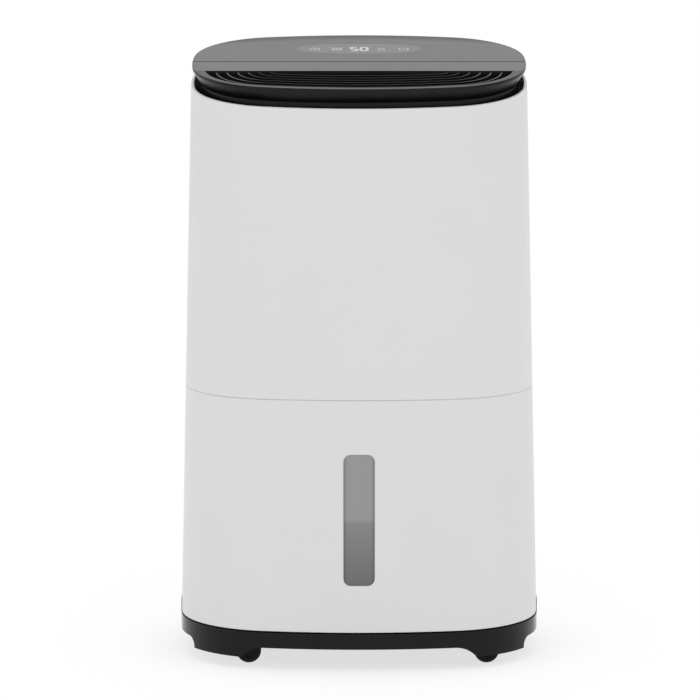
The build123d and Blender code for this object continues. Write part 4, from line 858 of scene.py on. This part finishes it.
@dataclass
class TouchPanel:
    """Touch field with lit signs and digits on the deck's rear plate."""

    wardrobe: Wardrobe
    deck: Deck = Deck()
    body: str = "chassis"
    slot: str = "deck_charcoal"
    middle_y: float = 0.049
    field_half: Spot = (0.060, 0.020)
    field_power: float = 2.6
    field_lift: float = 0.00008
    field_steps: int = 96
    ring_sizes: tuple[float, ...] = (0.0, 0.5, 0.9, 0.985, 1.0, 0.0)
    ring_lifts: tuple[float, ...] = (1.0, 1.0, 1.0, 0.8, -0.4, -0.4)
    profile_across: tuple[float, ...] = (-1.0, -0.85, 0.85, 1.0)
    profile_rise: tuple[float, ...] = (0.2, 1.0, 1.0, 0.2)
    arc_steps: int = 49
    line_steps: int = 5
    loop_steps: int = 180
    sign_places: tuple[float, ...] = (-0.043, -0.0215, 0.0215, 0.043)
    sign_line: float = 0.0012
    sign_rise: float = 0.00016
    sign_radius: float = 0.0046
    hand_foot: float = -0.0004
    hand_up: float = 0.0030
    hand_right: float = 0.0022
    fan_core: float = 0.0009
    fan_reach: float = 0.0049
    drop_width: float = 0.00234
    drop_height: float = 0.0054
    power_arc: Span = (125.0, 290.0)
    power_bar: Span = (0.0012, 0.0058)
    digit_places: tuple[float, ...] = (-0.0048, 0.0048)
    digit_half: Spot = (0.0030, 0.0068)
    digit_line: float = 0.0030
    digit_trim: float = 0.12
    seam_shade_half: float = 0.1585
    seam_shade_y: float = 0.0003
    seam_shade_width: float = 0.0022
    seam_shade_rise: float = 0.00004

    def field_piece(self) -> Object:
        """Make the rounded field behind the keys.

        The outline is the superellipse |x/a|^n + |y/b|^n = 1. Rings grow it from the middle
        by ring_sizes, at ring_lifts of the lift: the rim drops into the panel and the last
        ring closes below.

        Returns:
            The field's object.
        """
        angle = np.linspace(0, 2 * np.pi, self.field_steps, endpoint=False)
        turn = np.stack([np.cos(angle), np.sin(angle)], axis=-1)
        rim = np.array(self.field_half) * np.sign(turn) * np.abs(turn) ** (2 / self.field_power)
        plan = np.array(self.ring_sizes)[:, None, None] * rim + np.array([0.0, self.middle_y])
        lift = np.array(self.ring_lifts)[:, None] * self.field_lift
        sheets = Sheets("touch_field")
        sheets.add(self.deck.lay(plan, lift), wrap_v=True)
        return sheets.build(self.body, self.slot)

    def ribbon(self, path: np.ndarray, width: float, rise: float, closed: bool) -> np.ndarray:
        """Carry a low raised profile along a path on the deck.

        The profile has four points, foot, top, top and foot, at shares of half the width to
        each side of the path and at shares of the rise. An open path ends in a point, a
        quarter of the width beyond each end.

        Args:
            path: Points in plan, of shape (n, 2).
            width: Width of the ribbon.
            rise: Height of the ribbon's top above the deck.
            closed: Whether the path joins its own start.

        Returns:
            Grid of shape (rings, 4, 3).
        """
        if closed:
            ahead = np.roll(path, -1, axis=0) - np.roll(path, 1, axis=0)
        else:
            ahead = np.gradient(path, axis=0)
        ahead /= np.linalg.norm(ahead, axis=1, keepdims=True)
        side = np.stack([-ahead[:, 1], ahead[:, 0]], axis=-1)
        half = np.full(len(path), width / 2)
        if not closed:
            point = width / 4 * ahead
            path = np.concatenate([path[:1] - point[:1], path, path[-1:] + point[-1:]])
            side = np.concatenate([side[:1], side, side[-1:]])
            half = np.concatenate([[0.0], half, [0.0]])
        across = half[:, None] * np.array(self.profile_across)
        plan = path[:, None, :] + side[:, None, :] * across[..., None]
        return self.deck.lay(plan, rise * np.array(self.profile_rise))

    def draw(self, sheets: Sheets, path: np.ndarray, width: float, closed: bool = False) -> None:
        """Add a ribbon as high as a sign.

        Args:
            sheets: Surfaces to add to.
            path: Points in plan, of shape (n, 2).
            width: Width of the ribbon.
            closed: Whether the path joins its own start.
        """
        sheets.add(self.ribbon(path, width, self.sign_rise, closed), wrap_u=closed, wrap_v=True)

    def arc(self, middle: Spot, start: float, turn: float) -> np.ndarray:
        """Find points on an arc of a sign's radius: middle + radius (cos, sin).

        Args:
            middle: Centre in plan.
            start: First angle in degrees.
            turn: Angle swept in degrees.

        Returns:
            Points of shape (arc_steps, 2).
        """
        angle = np.radians(start + turn * np.linspace(0, 1, self.arc_steps))
        ray = np.stack([np.cos(angle), np.sin(angle)], axis=-1)
        return np.array(middle) + self.sign_radius * ray

    def straight(self, start: Spot, end: Spot) -> np.ndarray:
        """Find points on a straight line: start (1 - s) + end s.

        Args:
            start: First point in plan.
            end: Last point in plan.

        Returns:
            Points of shape (line_steps, 2).
        """
        share = np.linspace(0, 1, self.line_steps)[:, None]
        return np.array(start) * (1 - share) + np.array(end) * share

    def signs_piece(self) -> Object:
        """Make the four touch signs: timer, fan, drop and power.

        The timer is a ring with two hands. The fan is the loop r = core + reach |sin(2 a)|.
        The drop is x = width sin(a) (1 - cos(a)), y = height cos(a). Power is an open arc,
        given by its start and its turn in degrees, with a bar through its gap.

        Returns:
            The signs' object.
        """
        sheets = Sheets("touch_signs")
        mid, line = self.middle_y, self.sign_line
        timer, fan, drop, power = self.sign_places
        self.draw(sheets, self.arc((timer, mid), 0, 360)[:-1], line, closed=True)
        foot = (timer, mid + self.hand_foot)
        for tip in ((timer, mid + self.hand_up), (timer + self.hand_right, mid + self.hand_foot)):
            self.draw(sheets, self.straight(foot, tip), line)
        angle = np.linspace(0, 2 * np.pi, self.loop_steps, endpoint=False)
        cos, sin = np.cos(angle), np.sin(angle)
        reach = self.fan_core + self.fan_reach * np.abs(np.sin(2 * angle))
        loop = np.stack([fan + reach * cos, mid + reach * sin], axis=-1)
        self.draw(sheets, loop, line, closed=True)
        bead_x = drop + self.drop_width * sin * (1 - cos)
        bead_y = mid + self.drop_height * cos
        self.draw(sheets, np.stack([bead_x, bead_y], axis=-1), line, closed=True)
        self.draw(sheets, self.arc((power, mid), *self.power_arc), line)
        low, high = self.power_bar
        self.draw(sheets, self.straight((power, mid + low), (power, mid + high)), line)
        return sheets.build(self.body, self.slot)

    def digits_piece(self) -> Object:
        """Make two lit digits of straight bars, showing 50.

        A bar is trimmed at both ends by the same share of its length.

        Returns:
            The digits' object.
        """
        sheets = Sheets("display_digits")
        w, h = self.digit_half
        top, middle, bottom = (((-w, y), (w, y)) for y in (h, 0, -h))
        left_up, right_up = (((x, 0), (x, h)) for x in (-w, w))
        left_down, right_down = (((x, -h), (x, 0)) for x in (-w, w))
        five = (top, left_up, middle, right_down, bottom)
        nought = (top, left_up, right_up, left_down, right_down, bottom)
        for place, bars in zip(self.digit_places, (five, nought)):
            for bar in bars:
                start, end = np.array([place, self.middle_y]) + np.array(bar)
                trim = self.digit_trim * (end - start)
                self.draw(sheets, self.straight(start + trim, end - trim), self.digit_line)
        return sheets.build(self.body, self.slot)

    def seam_shade_piece(self) -> Object:
        """Make the dark strip over the seam between the panel and the strip: painted shade of its
        gap.

        Returns:
            The seal's object.
        """
        sheets = Sheets("panel_painted_seam_shade")
        # Painted shade: a dark strip over the seam stands for the shade in its gap
        path = self.straight((-self.seam_shade_half, self.seam_shade_y), (self.seam_shade_half, self.seam_shade_y))
        sheets.add(self.ribbon(path, self.seam_shade_width, self.seam_shade_rise, closed=False), wrap_v=True)
        return sheets.build(self.body, self.slot)

    def build(self) -> None:
        """Make and dress the painted seam shade, the field, the signs and the digits."""
        self.wardrobe.dress(self.seam_shade_piece(), Tone.SEAM_SHADE)
        self.wardrobe.dress(self.field_piece(), Tone.KEYS)
        self.wardrobe.dress(self.signs_piece(), Tone.SIGNS)
        self.wardrobe.dress(self.digits_piece(), Tone.DIGITS)


@dataclass(frozen=True)
class BodyPlan:
    """Plan of the body in tangent arcs: two ends, a front, a back and four corners."""

    half_width: float = 0.173
    half_depth: float = 0.120
    end_bow: float = 0.247
    corner_bow: float = 0.097
    front_bow: float = 0.518
    short_steps: int = 24
    long_steps: int = 72

    def front(self, back: float) -> tuple[np.ndarray, np.ndarray, np.ndarray]:
        """Follow the body's front in plan, from the right end round to the left.

        The way is five arcs. A point lies at centre + radius (cos, sin), and a line inset
        by d has the same centres and angles with radius - d.

        Args:
            back: Place along Y where the way starts and ends.

        Returns:
            Centres of shape (n, 2), radii of shape (n,) and angles of shape (n,).
        """
        end_x = self.half_width - self.end_bow
        front_y = self.front_bow - self.half_depth
        end_reach = self.end_bow - self.corner_bow
        front_reach = self.front_bow - self.corner_bow
        span = math.hypot(end_x, front_y)
        along = (end_reach**2 - front_reach**2 + span**2) / (2 * span)
        across = math.sqrt(end_reach**2 - along**2)
        corner_x = end_x + (front_y * across - end_x * along) / span
        corner_y = -(front_y * along + end_x * across) / span
        end_turn = math.atan2(corner_y, corner_x - end_x)
        front_turn = math.atan2(corner_y + front_y, corner_x)
        start = math.asin(-back / self.end_bow)
        right = (-start, -end_turn, -front_turn)
        left = (front_turn - math.pi, end_turn - math.pi, start - math.pi)
        turns = right + left
        arcs = (
            ((end_x, 0.0), self.end_bow, self.short_steps),
            ((corner_x, -corner_y), self.corner_bow, self.short_steps),
            ((0.0, front_y), self.front_bow, self.long_steps),
            ((-corner_x, -corner_y), self.corner_bow, self.short_steps),
            ((-end_x, 0.0), self.end_bow, self.short_steps),
        )
        centres, radii, angles = [], [], []
        for number, (centre, radius, steps) in enumerate(arcs):
            # An arc's first point is the last one's end, so only the first arc keeps it
            angle = np.linspace(turns[number], turns[number + 1], steps)[min(number, 1):]
            centres.append(np.tile(centre, (len(angle), 1)))
            radii.append(np.full(len(angle), radius))
            angles.append(angle)
        return np.concatenate(centres), np.concatenate(radii), np.concatenate(angles)

    def rear(self, x: float, inset: float) -> float:
        """Return how far behind the middle the back lies at x, inset by a distance."""
        centre = self.front_bow - self.half_depth
        return math.sqrt((self.front_bow - inset) ** 2 - x**2) - centre


@dataclass
class FrontBead:
    """Bead along a seam round the front of the body: by default the white one over the tank."""

    wardrobe: Wardrobe
    plan: BodyPlan = BodyPlan()
    name: str = "seam_bead"
    body: str = "tank"
    slot: str = "shell_white"
    tone: Tone = Tone.BEAD
    back: float = -0.0150
    face_inset: float = 0.00595
    width: float = 0.0018
    bottom: float = 0.2604
    top: float = 0.2612
    steps: int = 12

    def build(self) -> None:
        """Make and dress the bead.

        Its profile is a rounded loop: across it goes sign(c) |c|^0.5 half widths from the
        middle and upward sign(s) |s|^0.5 half heights, with c and s the cosine and sine of
        the steps round. The two end rings have no size. No point lies before the body's own
        front, y = -half_depth.
        """
        centres, radii, angles = self.plan.front(self.back)
        step = np.linspace(0, 2 * np.pi, self.steps, endpoint=False)
        loop = np.stack([np.cos(step), np.sin(step)])
        half = np.array([[self.width / 2], [(self.top - self.bottom) / 2]])
        across, upward = np.sign(loop) * np.sqrt(np.abs(loop)) * half
        size = np.ones((len(angles), 1))
        size[[0, -1]] = 0.0
        inset = self.face_inset + self.width / 2 + size * across
        heading = np.stack([np.cos(angles), np.sin(angles)], axis=-1)
        plan = centres[:, None, :] + (radii[:, None] - inset)[..., None] * heading[:, None, :]
        plan[..., 1] = np.maximum(plan[..., 1], -self.plan.half_depth)
        height = (self.top + self.bottom) / 2 + size * upward
        sheets = Sheets(self.name)
        sheets.add(np.concatenate([plan, height[..., None]], axis=-1), wrap_v=True)
        self.wardrobe.dress(sheets.build(self.body, self.slot), self.tone)


@dataclass
class BaseGapShade(FrontBead):
    """Matt black strip on the base's top edge: painted shade of the gap under the tank."""

    name: str = "base_painted_gap_shade"
    body: str = "chassis"
    slot: str = "base_black"
    tone: Tone = Tone.GAP_SHADE
    # Painted shade: the strip stands for the dark line of shade in the gap under the tank
    face_inset: float = -0.00005
    bottom: float = 0.0368
    top: float = 0.03845


@dataclass
class CoverScrews:
    """Cross-head screws of the back cover, in place of the plain solids."""

    wardrobe: Wardrobe
    plan: BodyPlan = BodyPlan()
    places: tuple[Spot, ...] = ((0.014, 0.0668), (-0.075, 0.258), (0.075, 0.258))
    shell_inset: float = 0.0005
    draft: float = math.radians(1.31)
    draft_start: float = 0.038
    sink: float = 0.004
    head: float = 0.0026
    head_radius: float = 0.004
    head_flat: float = 0.86
    dome_drop: float = 0.18
    shank_radius: float = 0.0022
    length: float = 0.012
    cross_half: float = 0.0005
    cross_reach: float = 0.0024
    cross_depth: float = 0.0013
    cross_slope: float = 0.4
    edge_shape: tuple[Spot, ...] = ((0.95, 0.72), (1.0, 0.5), (1.0, 0.2), (1.0, 0.0))
    shank_shape: tuple[Spot, ...] = ((1.0, 0.0), (1.0, -0.86), (0.7, -0.96), (0.0, -1.0))
    dome_rings: int = 22
    steps: int = 48

    def seat(self, x: float, z: float) -> float:
        """Find where the underside of a screw's head lies.

        Args:
            x: Place across the body.
            z: Height above the floor.

        Returns:
            Distance behind the middle: the drafted back wall's face less the sink.
        """
        inset = self.shell_inset + (z - self.draft_start) * math.tan(self.draft)
        return self.plan.rear(x, inset) - self.sink

    def turned(self, x: float, z: float) -> np.ndarray:
        """Turn one screw about its axis along Y.

        The profile runs over the domed head, y = head (1 - drop (r / radius)^2), round its
        edge, in under it and along the shank to its point, in shares of radius and length.
        Inside the cross, where |u| or |v| is under cross_half, the head drops by up to
        cross_depth, as far as cross_reach from the axis.

        Args:
            x: Place across the body.
            z: Height above the floor.

        Returns:
            Grid of shape (rings, steps, 3), from the point to the head.
        """
        out = np.linspace(0, self.head_flat * self.head_radius, self.dome_rings)
        dome = self.head * (1 - self.dome_drop * (out / self.head_radius) ** 2)
        edge = np.array(self.edge_shape) * np.array([self.head_radius, self.head])
        shank = np.array(self.shank_shape) * np.array([self.shank_radius, self.length])
        profile = np.concatenate([np.stack([out, dome], axis=-1), edge, shank])
        radius, along = profile[:, :1], profile[:, 1:]
        angle = np.linspace(0, 2 * np.pi, self.steps, endpoint=False)
        u, v = radius * np.cos(angle), radius * np.sin(angle)
        arm = np.minimum(np.abs(u), np.abs(v))
        on_head = (along > 0.5 * self.head) & (radius < self.cross_reach)
        deep = self.cross_depth * (1 - self.cross_slope * radius / self.cross_reach)
        drop = np.where(on_head & (arm < self.cross_half), deep, 0.0)
        return np.stack([x + u, self.seat(x, z) + along - drop, z + v], axis=-1)[::-1]

    def build(self) -> None:
        """Make and dress the screws."""
        sheets = Sheets("cover_screw_heads")
        for x, z in self.places:
            sheets.add(self.turned(x, z), wrap_v=True)
        piece = sheets.build("chassis", "fastener_steel")
        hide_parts("cover_screws")
        self.wardrobe.dress(piece, Tone.ZINC)


@dataclass
class Studio:
    """Pale floor, white surroundings, one soft lamp and the camera."""

    floor_half: float = 12.0
    floor_points: int = 5
    floor_level: float = 0.88
    shadow_share: float = 0.30
    white: float = 1.0
    camera_place: Point = (0.0, -4.400, 1.0037)
    camera_pitch: float = 0.16057
    sensor_width: float = 36.0
    lens: float = 237.3
    shift_x: float = -0.0130
    lamp_place: Point = (0.0, -1.6, 2.6)
    lamp_tilt: float = math.radians(38)
    lamp_size: float = 2.4
    lamp_watts: float = 6.0

    def seen(self, web: NodeWeb) -> Node:
        """Tell the rays that show the floor from those that only light something.

        Args:
            web: Node web to add to.

        Returns:
            The node that is 1 for rays from the camera, off a mirror or through something
            clear, and 0 for others.
        """
        rays = web.add("ShaderNodeLightPath")
        source, out = rays, "Is Camera Ray"
        for kind in ("Is Glossy Ray", "Is Transmission Ray"):
            total = web.add("ShaderNodeMath", operation="ADD", use_clamp=True)
            web.join(source, out, total, 0)
            web.join(rays, kind, total, 1)
            source, out = total, "Value"
        return source

    def floor_material(self) -> Material:
        """Build the floor's material.

        Where it is seen it is part white glow and part lit floor, so that the shadow stays
        and the rest is white. Other rays meet a plain pale floor.

        Returns:
            The floor's material.
        """
        web = NodeWeb(Tone.FLOOR.value)
        web.tree.nodes.remove(web.shader)
        plain, lit = (web.add("ShaderNodeBsdfDiffuse") for _ in range(2))
        plain.inputs["Color"].default_value = (*grey(self.floor_level), 1.0)
        lit.inputs["Color"].default_value = (*grey(self.white), 1.0)
        glow = web.add("ShaderNodeEmission")
        glow.inputs["Color"].default_value = (*grey(self.white), 1.0)
        blend, choose = (web.add("ShaderNodeMixShader") for _ in range(2))
        blend.inputs["Fac"].default_value = self.shadow_share
        web.join(glow, "Emission", blend, 1)
        web.join(lit, "BSDF", blend, 2)
        web.join(self.seen(web), "Value", choose, "Fac")
        web.join(plain, "BSDF", choose, 1)
        web.join(blend, "Shader", choose, 2)
        web.join(choose, "Shader", web.output, "Surface")
        return web.material

    def build_floor(self) -> None:
        """Lay the floor as a flat square grid at z = 0."""
        side = np.linspace(-self.floor_half, self.floor_half, self.floor_points)
        x, y = np.meshgrid(side, side, indexing="ij")
        sheets = Sheets("floor", smooth=False)
        sheets.add(np.stack([x, y, np.zeros_like(x)], axis=-1))
        floor = sheets.place()
        floor.data.materials.append(self.floor_material())

    def build_world(self) -> None:
        """Surround the scene with even white light."""
        world = bpy.data.worlds.new("studio")
        bpy.context.scene.world = world
        world.use_nodes = True
        tree = world.node_tree
        tree.nodes.clear()
        light = tree.nodes.new("ShaderNodeBackground")
        light.inputs["Color"].default_value = (*grey(self.white), 1.0)
        output = tree.nodes.new("ShaderNodeOutputWorld")
        tree.links.new(light.outputs["Background"], output.inputs["Surface"])

    def build_lamp(self) -> None:
        """Hang one large soft lamp above the front."""
        lamp = bpy.data.lights.new("softbox", "AREA")
        lamp.shape = "DISK"
        lamp.size = self.lamp_size
        lamp.energy = self.lamp_watts
        thing = bpy.data.objects.new("softbox", lamp)
        thing.location = self.lamp_place
        thing.rotation_euler = (self.lamp_tilt, 0, 0)
        bpy.context.scene.collection.objects.link(thing)

    def build_camera(self) -> None:
        """Set the camera at the photograph's angle."""
        lens = bpy.data.cameras.new("camera")
        lens.lens = self.lens
        lens.sensor_width = self.sensor_width
        lens.shift_x = self.shift_x
        thing = bpy.data.objects.new("camera", lens)
        thing.location = self.camera_place
        thing.rotation_euler = (math.pi / 2 - self.camera_pitch, 0, 0)
        bpy.context.scene.collection.objects.link(thing)
        bpy.context.scene.camera = thing

    def build(self) -> None:
        """Make the floor, the surroundings, the lamp and the camera."""
        self.build_floor()
        self.build_world()
        self.build_lamp()
        self.build_camera()
        bpy.context.scene.view_settings.view_transform = "Standard"


def main() -> None:
    """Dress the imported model, add the pieces and set up the studio."""
    logging.basicConfig(level=logging.INFO, format="%(message)s")
    wardrobe = Wardrobe()
    wardrobe.make()
    wardrobe.dress_nodes()
    TouchPanel(wardrobe).build()
    FrontBead(wardrobe).build()
    BaseGapShade(wardrobe).build()
    CoverScrews(wardrobe).build()
    Studio().build()


if __name__ == "__main__":
    main()
